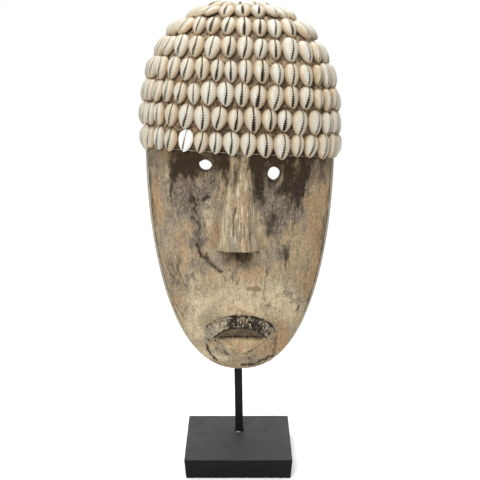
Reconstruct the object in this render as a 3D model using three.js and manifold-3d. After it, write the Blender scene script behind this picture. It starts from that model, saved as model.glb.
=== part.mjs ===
// Carved wooden face mask with a cap of cowrie shells, on a square rod and a block.
// Millimetres, +Z up, the face looks along -Y, origin at the centre of the block's underside.
// The mask has a frame of its own: u to the viewer's right, v up the face, w out of the rim plane.
import * as THREE from 'three';
import { mergeVertices } from 'three/addons/utils/BufferGeometryUtils.js';
import Module from 'manifold-3d';

const wasm = await Module();
wasm.setup();

// Block, drafted a little towards its foot
const BLOCK_WIDTH = 106;
const BLOCK_FOOT_WIDTH = 103;
const BLOCK_DEPTH = 92;
const BLOCK_HEIGHT = 21;
const BLOCK_EASE = 0.6;

// Square rod, let into the block and into the crown of the mask
const ROD_SIDE = 8;
const ROD_EASE = 0.9;
const ROD_FOOT_X = 0.8;
const ROD_FOOT_Y = 15;
const ROD_LEAN = THREE.MathUtils.degToRad(0.8);
const ROD_SINK = 15;
const ROD_TOP = 424;
const FIT_GAP = 0.3;

// Where the mask's rim plane stands, and how far it leans back
const MASK_TILT = THREE.MathUtils.degToRad(7);
const RIM_X = 1.6;
const RIM_Y = 7;
const RIM_Z = 95.9;

// Outlines in the rim plane: half width, reach below and above the widest line, and powers
const WIDEST_V = 218;
const RIM = { half: 91, down: 218, up: 135, side: 2.5, chin: 2.0, crown: 2.8 };
const FACE = { half: 86, down: 210, up: 128, side: 2.4, chin: 2.0, crown: 2.8 };
const HOLLOW = { half: 81.5, down: 206, up: 108, side: 2.5, chin: 2.0, crown: 2.4 };

// Depths along w
const WALL_DEPTH = 30;
const FACE_RISE = 46.5;
const FACE_POWER = 0.8;
const BROW_POWER = 0.52;
const BROW_FROM = 150;
const BROW_TO = 235;
const HOLLOW_DEPTH = 61;
const HOLLOW_POWER = 0.6;
const CHEEK_DISH = 6;
const DISH_MID = 158;
const DISH_REACH = 62;

// Facets of the head, and how deep joined forms are rooted in it
const HEAD_SPOKES = 56;
const FACE_RINGS = 11;
const HOLLOW_RINGS = 5;
const JOIN_ROOT = 8;

// Nose, a wedge with a flat front and a flat cut underside
const NOSE = { topV: 219, footV: 130, topHalf: 8, footHalf: 17.4, shift: -1 };
const NOSE_FRONT = { tipV: 131.5, topHalf: 3.5, tipHalf: 10.8, topW: 75.8, tipW: 85.5, crown: 0.8 };

// Muzzle round the mouth, and the mouth cut into it
const MUZZLE = { v: 45, half: 33, down: 37, up: 22, rise: 7, sunk: 1.5, power: 2.2 };
const MOUTH = { v: 44.5, half: 25.5, up: 11.5, down: 12.5, depth: 9, line: 20, crease: 0.3, bend: 5 };

// Eye holes: place and half sizes
const EYES = [
  { u: -31, v: 209.3, halfU: 5.8, halfV: 5.0 },
  { u: 30.3, v: 201.7, halfU: 5.4, halfV: 6.3 },
];

// Cowrie shells, threaded side by side in rows
const ROW_COUNT = 8;
const FIRST_ROW_V = 229;
const ROW_PITCH = 21;
const ROW_ROLL = THREE.MathUtils.degToRad(3);
const LAST_ROW_HALF = 26;
const LAST_ROW_BEND = 15;
const ROW_STEPS = 400;
const ROW_SWEEP = THREE.MathUtils.degToRad(93);
const SHELL_PITCH = 14.2;
const SHELL_LENGTH = 20.2;
const SHELL_HEIGHT = 7;
const SHELL_BELLY = 2.4;
const SHELL_LAP = 0.25;
const SHELL_GAP = 0.55;
const SHELL_BLUNT = 0.8;
const ROW_END_W = 1.5;

const woodColour = new THREE.MeshStandardMaterial({ color: 0xa58d6c, roughness: 0.85 });
const shellColour = new THREE.MeshStandardMaterial({ color: 0xe6dcc8, roughness: 0.35 });
const rodPaint = new THREE.MeshStandardMaterial({ color: 0x1c1c1c, roughness: 0.5, metalness: 0.3 });
const blockPaint = new THREE.MeshStandardMaterial({ color: 0x242426, roughness: 0.6 });

// Turns a closed three.js geometry into a solid that can be joined and cut.
function solid(geometry) {
  const bare = geometry.clone();
  bare.deleteAttribute('normal');
  bare.deleteAttribute('uv');
  const merged = mergeVertices(bare, 1e-4);
  const vertProperties = new Float32Array(merged.attributes.position.array);
  const triVerts = new Uint32Array(merged.index.array);
  return new wasm.Manifold(new wasm.Mesh({ numProp: 3, vertProperties, triVerts }));
}

function namedMesh(name, body, material) {
  const cut = body.getMesh();
  const geometry = new THREE.BufferGeometry();
  geometry.setAttribute('position', new THREE.BufferAttribute(new Float32Array(cut.vertProperties), 3));
  geometry.setIndex(new THREE.BufferAttribute(new Uint32Array(cut.triVerts), 1));
  geometry.computeVertexNormals();
  const mesh = new THREE.Mesh(geometry, material);
  mesh.name = name;
  return mesh;
}

// Moves every vertex of a geometry by a function of its place.
function reshape(geometry, move) {
  const place = geometry.attributes.position;
  const point = new THREE.Vector3();
  for (let i = 0; i < place.count; i += 1) {
    point.fromBufferAttribute(place, i);
    const moved = move(point);
    place.setXYZ(i, moved.x, moved.y, moved.z);
  }
  return geometry;
}

function signedPower(value, power) {
  return Math.sign(value) * Math.abs(value) ** power;
}

// A point of an egg outline, at an angle from +u towards +v.
function outlinePoint(egg, angle) {
  const c = Math.cos(angle);
  const s = Math.sin(angle);
  const reach = s > 0 ? egg.up : egg.down;
  const power = s > 0 ? egg.crown : egg.chin;
  const u = egg.half * signedPower(c, 2 / egg.side);
  const v = WIDEST_V + reach * signedPower(s, 2 / power);
  return new THREE.Vector2(u, v);
}

// 0 at the middle of an egg outline, 1 on it.
function eggLevel(egg, u, v) {
  const rise = v - WIDEST_V;
  const along = rise > 0 ? (rise / egg.up) ** egg.crown : (-rise / egg.down) ** egg.chin;
  return Math.abs(u / egg.half) ** egg.side + along;
}

// Height of the face in front of the rim plane, without nose and muzzle.
function faceHeight(u, v) {
  const level = Math.min(1, eggLevel(FACE, u, v));
  const brow = THREE.MathUtils.smoothstep(v, BROW_FROM, BROW_TO);
  const power = THREE.MathUtils.lerp(FACE_POWER, BROW_POWER, brow);
  const dish = Math.max(0, 1 - ((v - DISH_MID) / DISH_REACH) ** 2) ** 2;
  return WALL_DEPTH + FACE_RISE * (1 - level) ** power - CHEEK_DISH * dish * (1 - level);
}

// A point of the head's outside: reach 0 to 1 crosses the face, 1 to 2 runs down the side wall.
function headPoint(angle, reach) {
  const edge = outlinePoint(FACE, angle);
  if (reach <= 1) {
    const u = edge.x * reach;
    const v = WIDEST_V + (edge.y - WIDEST_V) * reach;
    return new THREE.Vector3(u, v, reach === 1 ? WALL_DEPTH : faceHeight(u, v));
  }
  const rim = outlinePoint(RIM, angle);
  const flat = edge.lerp(rim, reach - 1);
  return new THREE.Vector3(flat.x, flat.y, WALL_DEPTH * (2 - reach));
}

// A closed dome from a lathe: its rings are numbered by radius, first over the top and then back below.
function domeGeometry(topRadii, floorRadii, spokes, place) {
  const top = topRadii.map((radius) => new THREE.Vector2(radius, 1));
  const floor = floorRadii.map((radius) => new THREE.Vector2(radius, 0));
  const lathe = new THREE.LatheGeometry([...top, ...floor].reverse(), spokes);
  return reshape(lathe, (p) => {
    const radius = Math.hypot(p.x, p.z);
    return place(Math.atan2(-p.z, p.x), radius, p.y > 0.5);
  });
}

// Radii from the middle to the edge, closer together near the edge.
function ringRadii(count) {
  return Array.from({ length: count + 1 }, (_, i) => Math.sin((Math.PI / 2) * (i / count)));
}

// A point of the hollow behind the face.
function hollowPoint(angle, reach) {
  const edge = outlinePoint(HOLLOW, angle);
  const u = edge.x * reach;
  const v = WIDEST_V + (edge.y - WIDEST_V) * reach;
  const level = Math.min(1, eggLevel(HOLLOW, u, v));
  return new THREE.Vector3(u, v, HOLLOW_DEPTH * (1 - level) ** HOLLOW_POWER);
}

// The carved wood without nose, muzzle and holes: a shell with a flat rim.
function headSolid() {
  const outside = [...ringRadii(FACE_RINGS), 1.5, 2];
  const inside = ringRadii(HOLLOW_RINGS).reverse();
  return solid(domeGeometry(outside, inside, HEAD_SPOKES, (angle, radius, isTop) => (
    isTop ? headPoint(angle, radius) : hollowPoint(angle, radius)
  )));
}

function noseSolid() {
  const wedge = new THREE.BoxGeometry(2, 1, 1, 2, 4, 1);
  reshape(wedge, (p) => {
    const down = 0.5 - p.y;
    const isFront = p.z > 0;
    const v = THREE.MathUtils.lerp(NOSE.topV, isFront ? NOSE_FRONT.tipV : NOSE.footV, down);
    const ridge = THREE.MathUtils.lerp(NOSE_FRONT.topW, NOSE_FRONT.tipW, down);
    const skin = faceHeight(NOSE.shift, v);
    const footHalf = THREE.MathUtils.lerp(NOSE.topHalf, NOSE.footHalf, down);
    const frontHalf = THREE.MathUtils.lerp(NOSE_FRONT.topHalf, NOSE_FRONT.tipHalf, down);
    const flare = (footHalf - frontHalf) / Math.max(2, ridge - skin);
    const half = isFront ? frontHalf : footHalf + flare * JOIN_ROOT;
    const crown = p.x === 0 ? NOSE_FRONT.crown * down : 0;
    return new THREE.Vector3(NOSE.shift + p.x * half, v, isFront ? ridge + crown : skin - JOIN_ROOT);
  });
  return solid(wedge);
}

function muzzleSolid() {
  const geometry = domeGeometry(ringRadii(4), [1, 0], 28, (angle, radius, isTop) => {
    const s = Math.sin(angle);
    const reach = s > 0 ? MUZZLE.up : MUZZLE.down;
    const u = MUZZLE.half * signedPower(Math.cos(angle), 2 / MUZZLE.power) * radius;
    const v = MUZZLE.v + reach * signedPower(s, 2 / MUZZLE.power) * radius;
    const skin = faceHeight(u, v);
    const rise = (MUZZLE.rise + MUZZLE.sunk) * Math.sqrt(Math.max(0, 1 - radius ** 2)) - MUZZLE.sunk;
    return new THREE.Vector3(u, v, isTop ? skin + rise : skin - JOIN_ROOT);
  });
  return solid(geometry);
}

// A trough whose walls fall from the lips' edge to the line between them.
function mouthSolid() {
  const top = 12;
  const skin = faceHeight(0, MOUTH.v) + MUZZLE.rise;
  const open = 1 + top / MOUTH.depth;
  const trough = new THREE.CylinderGeometry(1, 1, 1, 24);
  reshape(trough, (p) => {
    const isTop = p.y > 0;
    const bend = MOUTH.bend * p.x ** 2;
    const half = isTop ? THREE.MathUtils.lerp(MOUTH.line, MOUTH.half, open) : MOUTH.line;
    const reach = isTop ? open * (p.z < 0 ? MOUTH.up : MOUTH.down) : MOUTH.crease;
    return new THREE.Vector3(
      half * p.x,
      MOUTH.v - reach * p.z,
      skin - bend + (isTop ? top : -MOUTH.depth),
    );
  });
  return solid(trough);
}

function eyeSolid(eye) {
  const length = 60;
  const hole = new THREE.CylinderGeometry(1, 1, length, 12);
  hole.rotateX(Math.PI / 2);
  hole.scale(eye.halfU, eye.halfV, 1);
  hole.translate(eye.u, eye.v, HOLLOW_DEPTH);
  return solid(hole);
}

// The mask's frame in the object's frame.
const maskFrame = new THREE.Group();
maskFrame.position.set(RIM_X, RIM_Y, RIM_Z);
maskFrame.rotation.x = Math.PI / 2 - MASK_TILT;
maskFrame.updateMatrixWorld();

function rodGeometry(side, bottom, top) {
  const corner = ROD_EASE;
  const flat = side / 2 - corner;
  const section = new THREE.Shape();
  section.absarc(flat, flat, corner, 0, Math.PI / 2);
  section.absarc(-flat, flat, corner, Math.PI / 2, Math.PI);
  section.absarc(-flat, -flat, corner, Math.PI, 1.5 * Math.PI);
  section.absarc(flat, -flat, corner, 1.5 * Math.PI, 2 * Math.PI);
  const rod = new THREE.ExtrudeGeometry(section, {
    depth: top - bottom,
    bevelEnabled: false,
    curveSegments: 2,
  });
  rod.translate(0, 0, bottom - BLOCK_HEIGHT);
  rod.rotateY(-ROD_LEAN);
  rod.translate(ROD_FOOT_X, ROD_FOOT_Y, BLOCK_HEIGHT);
  return rod;
}

const rodBottom = BLOCK_HEIGHT - ROD_SINK;
const rodSolid = solid(rodGeometry(ROD_SIDE, rodBottom, ROD_TOP));
const socketSolid = solid(rodGeometry(ROD_SIDE + 2 * FIT_GAP, rodBottom - FIT_GAP, ROD_TOP + FIT_GAP));

function blockSolid() {
  const ease = BLOCK_EASE;
  const block = new THREE.BoxGeometry(BLOCK_WIDTH, BLOCK_DEPTH, BLOCK_HEIGHT, 1, 1, 3);
  const step = BLOCK_HEIGHT / 6;
  reshape(block, (p) => {
    const isEnd = Math.abs(p.z) > 2 * step;
    const level = isEnd ? p.z : Math.sign(p.z) * (BLOCK_HEIGHT / 2 - ease);
    const z = level + BLOCK_HEIGHT / 2;
    const draft = ((BLOCK_WIDTH - BLOCK_FOOT_WIDTH) / 2) * (1 - z / BLOCK_HEIGHT);
    const pull = draft + (isEnd ? ease : 0);
    return new THREE.Vector3(p.x - Math.sign(p.x) * pull, p.y - Math.sign(p.y) * pull, z);
  });
  return solid(block).subtract(socketSolid);
}

function maskSolid() {
  const toMask = maskFrame.matrixWorld.clone().invert();
  const belowChin = RIM_Z / 2;
  const hole = rodGeometry(ROD_SIDE + 2 * FIT_GAP, belowChin, ROD_TOP + FIT_GAP);
  const socket = solid(hole.applyMatrix4(toMask));
  let body = headSolid().add(noseSolid()).add(muzzleSolid());
  body = body.subtract(mouthSolid()).subtract(socket);
  for (const eye of EYES) {
    body = body.subtract(eyeSolid(eye));
  }
  return body;
}

// The outward normal of the head at an angle and reach.
function headNormal(angle, reach) {
  const step = 0.01;
  const along = headPoint(angle + step, reach).sub(headPoint(angle - step, reach));
  const low = Math.max(0.02, reach - step);
  const high = Math.min(2, reach + step);
  const out = headPoint(angle, high).sub(headPoint(angle, low));
  return out.cross(along).normalize();
}

// The middle line of the cap, walked up from the first row in steps of one row.
function rowMiddles() {
  const middles = [];
  let last = null;
  let walked = 0;
  for (let reach = 0.02; reach < 2; reach += 0.0005) {
    const point = headPoint(Math.PI / 2, reach);
    if (point.y < FIRST_ROW_V) continue;
    const raised = point.clone().addScaledVector(headNormal(Math.PI / 2, reach), SHELL_HEIGHT / 2);
    walked += last ? raised.distanceTo(last) : ROW_PITCH;
    last = raised;
    if (walked >= ROW_PITCH && middles.length < ROW_COUNT) {
      middles.push(point);
      walked -= ROW_PITCH;
    }
  }
  return middles;
}

// The line of one row round the head, as points and normals from left to right.
// The last row is short and bends back over the crown.
function rowLine(middle, row) {
  const crown = THREE.MathUtils.smoothstep(row, ROW_COUNT - 5, ROW_COUNT - 1);
  const roll = ROW_ROLL * (1 - crown);
  const up = new THREE.Vector3(Math.sin(roll), Math.cos(roll), 0);
  const isLast = row === ROW_COUNT - 1;
  const line = [];
  for (let k = -ROW_STEPS; k <= ROW_STEPS; k += 1) {
    const turn = Math.sign(k) * (1 - (1 - Math.abs(k) / ROW_STEPS) ** 3);
    const angle = Math.PI / 2 - turn * ROW_SWEEP;
    let low = 0;
    let high = 2;
    const above = (reach) => {
      const from = headPoint(angle, reach).sub(middle);
      return isLast ? from.z < -LAST_ROW_BEND * (from.x / LAST_ROW_HALF) ** 2 : from.dot(up) > 0;
    };
    if (!above(high)) continue;
    for (let i = 0; i < 24; i += 1) {
      const half = (low + high) / 2;
      if (above(half)) high = half;
      else low = half;
    }
    const point = headPoint(angle, high);
    const isOn = isLast ? Math.abs(point.x) < LAST_ROW_HALF : point.z > ROW_END_W;
    if (isOn) line.push({ point, normal: headNormal(angle, high) });
  }
  return line;
}

// Points at even steps along a row, raised to the shells' bellies.
function spreadAlong(line, raise) {
  const raised = line.map(({ point, normal }) => point.clone().addScaledVector(normal, raise));
  const walked = [0];
  for (let i = 1; i < raised.length; i += 1) {
    walked.push(walked[i - 1] + raised[i].distanceTo(raised[i - 1]));
  }
  const total = walked.at(-1);
  const count = 2 * Math.round(total / SHELL_PITCH);
  const spread = [];
  let i = 0;
  for (let k = 0; k <= count; k += 1) {
    const aim = (total * k) / count;
    while (i < walked.length - 2 && walked[i + 1] < aim) i += 1;
    const t = (aim - walked[i]) / (walked[i + 1] - walked[i]);
    const point = raised[i].clone().lerp(raised[i + 1], t);
    const normal = line[i].normal.clone().lerp(line[i + 1].normal, t).normalize();
    spread.push({ point, normal });
  }
  return spread;
}

// One shell as a pod that reaches from one joint of the row to the next.
function shellSolid(before, centre, after) {
  const { point: middle, normal } = centre;
  const across = after.point.clone().sub(before.point).normalize();
  const along = normal.clone().cross(across).normalize();
  const pod = new THREE.SphereGeometry(1, 6, 4);
  const top = Math.sin(Math.PI / 3);
  reshape(pod, (p) => {
    const end = (p.x > 0 ? after : before).point.clone();
    const side = end.addScaledVector(across, Math.sign(p.x) * SHELL_LAP).sub(middle);
    const drop = side.dot(normal);
    side.addScaledVector(normal, -drop);
    const front = (SHELL_HEIGHT - SHELL_BELLY) * Math.max(0, p.z / top) ** SHELL_BLUNT;
    const back = -(SHELL_BELLY - SHELL_GAP) * Math.min(1, -p.z / 0.5);
    const lean = Math.abs(p.x) ** SHELL_BLUNT;
    return middle.clone()
      .addScaledVector(side, lean)
      .addScaledVector(normal, drop * lean ** 2 + (p.z > 0 ? front : back))
      .addScaledVector(along, (SHELL_LENGTH / 2) * p.y);
  });
  return solid(pod);
}

function rowSolid(middle, row) {
  const spread = spreadAlong(rowLine(middle, row), SHELL_BELLY);
  let body = null;
  for (let k = 0; k + 2 < spread.length; k += 2) {
    const shell = shellSolid(spread[k], spread[k + 1], spread[k + 2]);
    body = body ? body.add(shell) : shell;
  }
  return body;
}

const shellRows = rowMiddles().map(rowSolid);
shellRows.forEach((row, k) => {
  maskFrame.add(namedMesh(`shell_row_${k + 1}`, row, shellColour));
});

const mask = namedMesh('wooden_mask', maskSolid(), woodColour);
maskFrame.add(mask);

const object = new THREE.Group();
object.name = 'cowrie_mask_on_stand';
object.add(namedMesh('base_block', blockSolid(), blockPaint));
object.add(namedMesh('support_rod', rodSolid, rodPaint));
object.add(maskFrame);

export default object;
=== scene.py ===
"""Carved wooden face mask with a cap of cowrie shells, on a square rod and a black block.

The mask is shaped in millimetres in a frame of its own, as in the part's source: u to the
viewer's right, v up the face, w out of the rim plane. Everything ends up in metres in the
object's frame, where the face looks along -Y and the block stands on z = 0.
"""

import math
import random

import bpy
import numpy as np
from mathutils import Matrix, Vector


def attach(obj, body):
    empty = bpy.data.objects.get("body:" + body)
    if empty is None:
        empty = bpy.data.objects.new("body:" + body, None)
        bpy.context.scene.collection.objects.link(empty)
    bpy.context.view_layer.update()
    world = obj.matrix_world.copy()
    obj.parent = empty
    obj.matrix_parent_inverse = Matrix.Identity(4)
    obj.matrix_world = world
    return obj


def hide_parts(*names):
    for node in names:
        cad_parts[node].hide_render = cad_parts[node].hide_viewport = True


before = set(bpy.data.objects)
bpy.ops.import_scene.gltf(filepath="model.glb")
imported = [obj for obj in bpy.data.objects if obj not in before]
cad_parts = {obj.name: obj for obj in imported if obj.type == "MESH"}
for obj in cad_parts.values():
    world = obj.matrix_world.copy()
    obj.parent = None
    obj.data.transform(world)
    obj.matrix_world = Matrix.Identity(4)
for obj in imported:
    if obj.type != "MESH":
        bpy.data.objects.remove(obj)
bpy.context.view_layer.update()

MM = 0.001

# Points nearer than this are one point, in millimetres
MERGE_DISTANCE = 0.001

# Camera of the photograph
CAMERA_PLACE = (0.0016, -0.8257, 0.4786)
CAMERA_PITCH = math.radians(16.7)
CAMERA_LENS = 67.5
CAMERA_SENSOR = 36
CAMERA_SHIFT = 0.5 / 480

# Light of the studio: ambient light from the front and from the backdrop, and three lamps
FRONT_AMBIENT = 0.3
BACK_AMBIENT = 1.0
BACKDROP_FROM = -0.1
BACKDROP_TO = 0.6
LAMP_AIM = (0, 0, 0.28)
LAMPS = {
    "key_softbox": {"place": (-0.45, -1.05, 1.05), "size": 0.7, "watts": 16.5},
    "fill_softbox": {"place": (1.3, -1.0, 0.7), "size": 1.2, "watts": 5},
    "top_softbox": {"place": (0, 0.15, 1.8), "size": 1.4, "watts": 31},
}
FLOOR_RADIUS = 1.2

# Block and rod
BLOCK_WIDTH = 106.0
BLOCK_FOOT_WIDTH = 103.0
BLOCK_DEPTH = 92.0
BLOCK_HEIGHT = 21.0
BLOCK_EASE = 1.0
BLOCK_DENT = 0.12
BLOCK_WEAR = 0.15
BLOCK_CUTS = 30
ROD_SIDE = 8.0
ROD_FOOT_X = 0.8
ROD_FOOT_Y = 15.0
ROD_LEAN = math.radians(0.8)
ROD_SINK = 15.0
ROD_TOP = 424.0
ROD_EASE = 0.9
ROD_UNEVEN = 0.012
ROD_CUTS = 70
FIT_GAP = 0.3
GLUE_HALF = (2.6, 0.8, 0.6)
GLUE_OFFSET = (-1.2, -0.6)

# Where the mask's rim plane stands, and how far it leans back
MASK_TILT = math.radians(7)
RIM_X = 1.6
RIM_Y = 7.0
RIM_Z = 95.9

# Outlines in the rim plane and depths along w
WIDEST_V = 218.0
RIM = {"half": 91.0, "down": 218.0, "up": 135.0, "side": 2.5, "chin": 2.0, "crown": 2.8}
FACE = {"half": 86.0, "down": 210.0, "up": 128.0, "side": 2.4, "chin": 2.0, "crown": 2.8}
HOLLOW = {"half": 81.5, "down": 206.0, "up": 108.0, "side": 2.5, "chin": 2.0, "crown": 2.4}
EGG_LIMIT = 400.0
EGG_ROUNDS = 36
WALL_DEPTH = 30.0
WALL_UNEVEN = 0.35
FACE_RISE = 46.5
FACE_POWER = 0.8
BROW_POWER = 0.52
BROW_FROM = 150.0
BROW_TO = 235.0
HOLLOW_DEPTH = 61.0
HOLLOW_POWER = 0.6
GOUGE_DEPTH = 1.3
GOUGE_LEVEL = 0.6
CHEEK_DISH = 6.0
DISH_MID = 158.0
DISH_REACH = 62.0

# Mesh of the head: a grid over the face, rings down the side wall, a coarser grid inside
MIDDLE_V = 177.0
HALF_V = 169.0
COLUMNS = 172
FINE_ROWS = 224
CAP_ROWS = 58
CAP_FROM = 232.0
WALL_RINGS = 14
INNER_COLUMNS = 66
INNER_ROWS = 132

# Nose: its place, and the grid lines that its edges lie on
NOSE_TOP_V = 219.0
NOSE_FOOT_V = 131.0
NOSE_TIP_V = 133.0
NOSE_FOOT = (8.0, 20.0)
NOSE_FRONT = (3.5, 9.8)
NOSE_FRONT_X = (1.0, -1.0)
NOSE_FOOT_X = (1.0, -1.9)
NOSE_RIDGE = (75.8, 85.5)
NOSE_CROWN = 0.8
NOSE_UNEVEN = 0.5
NOSE_TIP_EASE = 0.7
NOSE_FRONT_COLUMN = 6.0
NOSE_FOOT_COLUMN = 18.0
NOSE_NEAR_COLUMN = 26.0
NOSE_FAR_COLUMN = 45.0
NOSE_FOOT_ROW = 124.0
NOSE_TIP_ROW = 136.0
NOSE_ROWS = (100, 118, 226, 250)
TIP_ROWS = (80, 96, 154, 170)
TIP_COLUMNS = (20, 36)

# Muzzle and mouth
MUZZLE = {"v": 45.0, "half": 33.0, "down": 37.0, "up": 22.0, "rise": 8.5, "sunk": 1.5, "power": 2.2}
MOUTH_HALF = 25.4
MOUTH_DEPTH = 9.0
LIP_HALF = 33.0
LIP_V = 48.5
LIP_RISE = 18.7
INNER_V = 44.0
INNER_RISE = 11.8
INNER_SLOPE = 0.68
LINE_V = 44.9
LINE_SAG = 1.2
LOWER_LIP_X = 3.5
LOWER_LIP_V = 43.4
LOWER_LIP_DROP = 14.6
LIP_LEAST = 0.6
LIP_BEAD = 1.5
LIP_GROOVE = 0.7
CHIN_LEDGE = 0.9
CHIN_GROOVE = 1.1

EYES = [
    {"u": -31.0, "v": 209.3, "half_u": 5.8, "half_v": 5.0, "seed": 3},
    {"u": 30.3, "v": 201.7, "half_u": 5.4, "half_v": 6.3, "seed": 8},
]
EYE_UNEVEN = 0.05
EYE_BEVEL = 1.6

# Rows of cowrie shells, threaded side by side
ROW_COUNT = 8
FIRST_ROW_V = 229.0
ROW_PITCH = 21.0
ROW_ROLL = math.radians(3)
LAST_ROW_HALF = 26.0
LAST_ROW_BEND = 15.0
ROW_STEPS = 400
ROW_SWEEP = math.radians(93)
ROW_ROUNDS = 24
ROW_END_W = 1.5
ROW_MARGIN = 3.0
ROW_STARTS = (-7.6, -3.6, 1.7, 5.0, 4.4, 3.5, 2.6, 0.0)
SHELL_PITCH = 14.2
SIDE_SQUEEZE = 0.24
FIRST_SIZES = (0.93, 1.08)
SHELL_SIZES = (0.84, 1.12)
SHELL_LENGTHS = (0.95, 1.06)
SHELL_HEIGHTS = (0.95, 1.1)
SHELL_LENGTH_SPREAD = 0.7
SHELL_OVERLAP = 1.08
SHELL_SHIFT = 0.9
TURN_FLAT = 8
TURN_ROLLED = 9
TURN_TIPPED = 4
WHITE_SHELL_U = 52.0
WHITE_SHELL_SIZE = 0.86
NARROW_LEFT = -24.0
NARROW_RIGHT = 60.0

# One cowrie, and the spokes of its mesh: the slit, its lips, the front up to its widest, the back
SHELL_LENGTH = 21.0
SHELL_WIDTH = 14.3
SHELL_HEIGHT = 7.0
SHELL_BELLY = 2.4
SHELL_BACK = 2.1
SHELL_TAPER = 0.52
SHELL_SPOKES = 24
SHELL_RINGS = 30
FRONT_STEPS = 9
LIP_STEP = 3
MODELS = [
    {"name": "cowrie_narrow", "slit_width": 1.5, "bend": 0.25},
    {"name": "cowrie_bent", "slit_width": 2.3, "bend": 0.8},
    {"name": "cowrie_wide", "slit_width": 3.2, "bend": 0.45},
    {"name": "cowrie_open", "slit_width": 3.8, "bend": 0.35},
]
THREAD_RADIUS = 0.2
THREAD_DROP = 0.42 * SHELL_LENGTH
THREAD_RAISE = 1.3

# Size of the square of random numbers behind the noise, and its strength on several scales
KNOTS = 256
ROUGH_LEVEL = 1.6
STROKE_WANDER = 1.4
SPOT_MOST = 0.98

# Edges are smooth up to these angles, in degrees
EDGE_ANGLE = 35
CARVED_ANGLE = 38


def clear_selection():
    bpy.ops.object.select_all(action="DESELECT")


def activate(*pieces):
    clear_selection()
    for piece in pieces:
        piece.select_set(True)
    bpy.context.view_layer.objects.active = pieces[0]


def add_primitive(name, operator, **options):
    """Adds one primitive mesh object and names it."""
    clear_selection()
    operator(**options)
    piece = bpy.context.object
    piece.name = name
    piece.data.name = name
    return piece


def switch_to(mode):
    bpy.ops.object.mode_set(mode=mode)


def edit(piece, operator, **options):
    """Runs one edit mode operator on the whole of a piece."""
    activate(piece)
    switch_to("EDIT")
    bpy.ops.mesh.select_all(action="SELECT")
    operator(**options)
    switch_to("OBJECT")


def join(*pieces):
    activate(*pieces)
    bpy.ops.object.join()


def apply_modifier(piece, kind, **options):
    modifier = piece.modifiers.new(kind.lower(), kind)
    for key, value in options.items():
        setattr(modifier, key, value)
    activate(piece)
    bpy.ops.object.modifier_apply(modifier=modifier.name)


def cut(piece, cutter):
    apply_modifier(piece, "BOOLEAN", operation="DIFFERENCE", solver="EXACT", object=cutter)
    bpy.data.objects.remove(cutter)


def coat(piece, finish, smooth_below=None):
    """Gives a piece its only finish, and smooths its edges below an angle in degrees."""
    piece.data.materials.clear()
    piece.data.materials.append(finish)
    if smooth_below:
        activate(piece)
        bpy.ops.object.shade_smooth_by_angle(angle=math.radians(smooth_below))


def read_points(piece):
    points = np.empty(len(piece.data.vertices) * 3)
    piece.data.vertices.foreach_get("co", points)
    return points.reshape(-1, 3)


def write_points(piece, points):
    piece.data.vertices.foreach_set("co", np.ascontiguousarray(points).ravel())
    piece.data.update()


def write_tones(piece, name, channels):
    """Stores four numbers on every vertex, for a material to read."""
    attribute = piece.data.attributes.new(name, "FLOAT_COLOR", "POINT")
    attribute.data.foreach_set("color", np.stack(channels, 1).astype(np.float32).ravel())


def smoothstep(value, low, high):
    t = np.clip((value - low) / (high - low), 0, 1)
    return t * t * (3 - 2 * t)


def window(value, low, full_from, full_to, high):
    """0 outside low to high, 1 between the two places in the middle."""
    return smoothstep(value, low, full_from) * (1 - smoothstep(value, full_to, high))


def bell(value, width):
    return np.exp(-(value / width) ** 2)


def lerp(low, high, t):
    return low + (high - low) * t


def signed_power(value, power):
    return np.sign(value) * np.abs(value) ** power


def unit(vectors):
    return vectors / np.linalg.norm(vectors, axis=-1, keepdims=True)


def walk(points):
    """Distance walked along a line at each of its points."""
    return np.concatenate([[0], np.cumsum(np.linalg.norm(np.diff(points, axis=0), axis=1))])


def halved(holds, high, rounds):
    """Where a test first holds between 0 and high, found by halving."""
    low = np.zeros_like(high)
    for _ in range(rounds):
        half = (low + high) / 2
        there = holds(half)
        high = np.where(there, half, high)
        low = np.where(there, low, half)
    return high


def lattice_noise(x, y, seed):
    """Smooth noise from -1 to 1 with one knot at each whole number."""
    table = np.random.RandomState(seed).uniform(-1, 1, (KNOTS, KNOTS))
    left = np.floor(x).astype(int)
    low = np.floor(y).astype(int)
    s = smoothstep(x - left, 0, 1)
    t = smoothstep(y - low, 0, 1)
    left, right = left % KNOTS, (left + 1) % KNOTS
    low, high = low % KNOTS, (low + 1) % KNOTS
    west = lerp(table[left, low], table[left, high], t)
    east = lerp(table[right, low], table[right, high], t)
    return lerp(west, east, s)


def rough_noise(x, y, seed, octaves):
    """Noise on several scales, each half as large and half as strong as the one before."""
    total = 0
    for octave in range(octaves):
        scale = 2 ** octave
        total = total + lattice_noise(x * scale, y * scale, seed + octave) / scale
    return total / ROUGH_LEVEL


def to_object(points):
    """From the mask's frame in millimetres to the object's frame in metres."""
    u, v, w = points.T
    y = RIM_Y + v * math.sin(MASK_TILT) - w * math.cos(MASK_TILT)
    z = RIM_Z + v * math.cos(MASK_TILT) + w * math.sin(MASK_TILT)
    return np.stack([u + RIM_X, y, z], 1) * MM


def to_mask(points):
    """From the object's frame to the mask's frame, both in millimetres."""
    x, y, z = (points - (RIM_X, RIM_Y, RIM_Z)).T
    v = y * math.sin(MASK_TILT) + z * math.cos(MASK_TILT)
    w = -y * math.cos(MASK_TILT) + z * math.sin(MASK_TILT)
    return np.stack([x, v, w], 1)


def egg_level(egg, u, v):
    """0 at the middle of an egg outline, 1 on it."""
    rise = v - WIDEST_V
    above = (np.maximum(rise, 0) / egg["up"]) ** egg["crown"]
    below = (np.maximum(-rise, 0) / egg["down"]) ** egg["chin"]
    return np.abs(u / egg["half"]) ** egg["side"] + above + below


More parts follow.
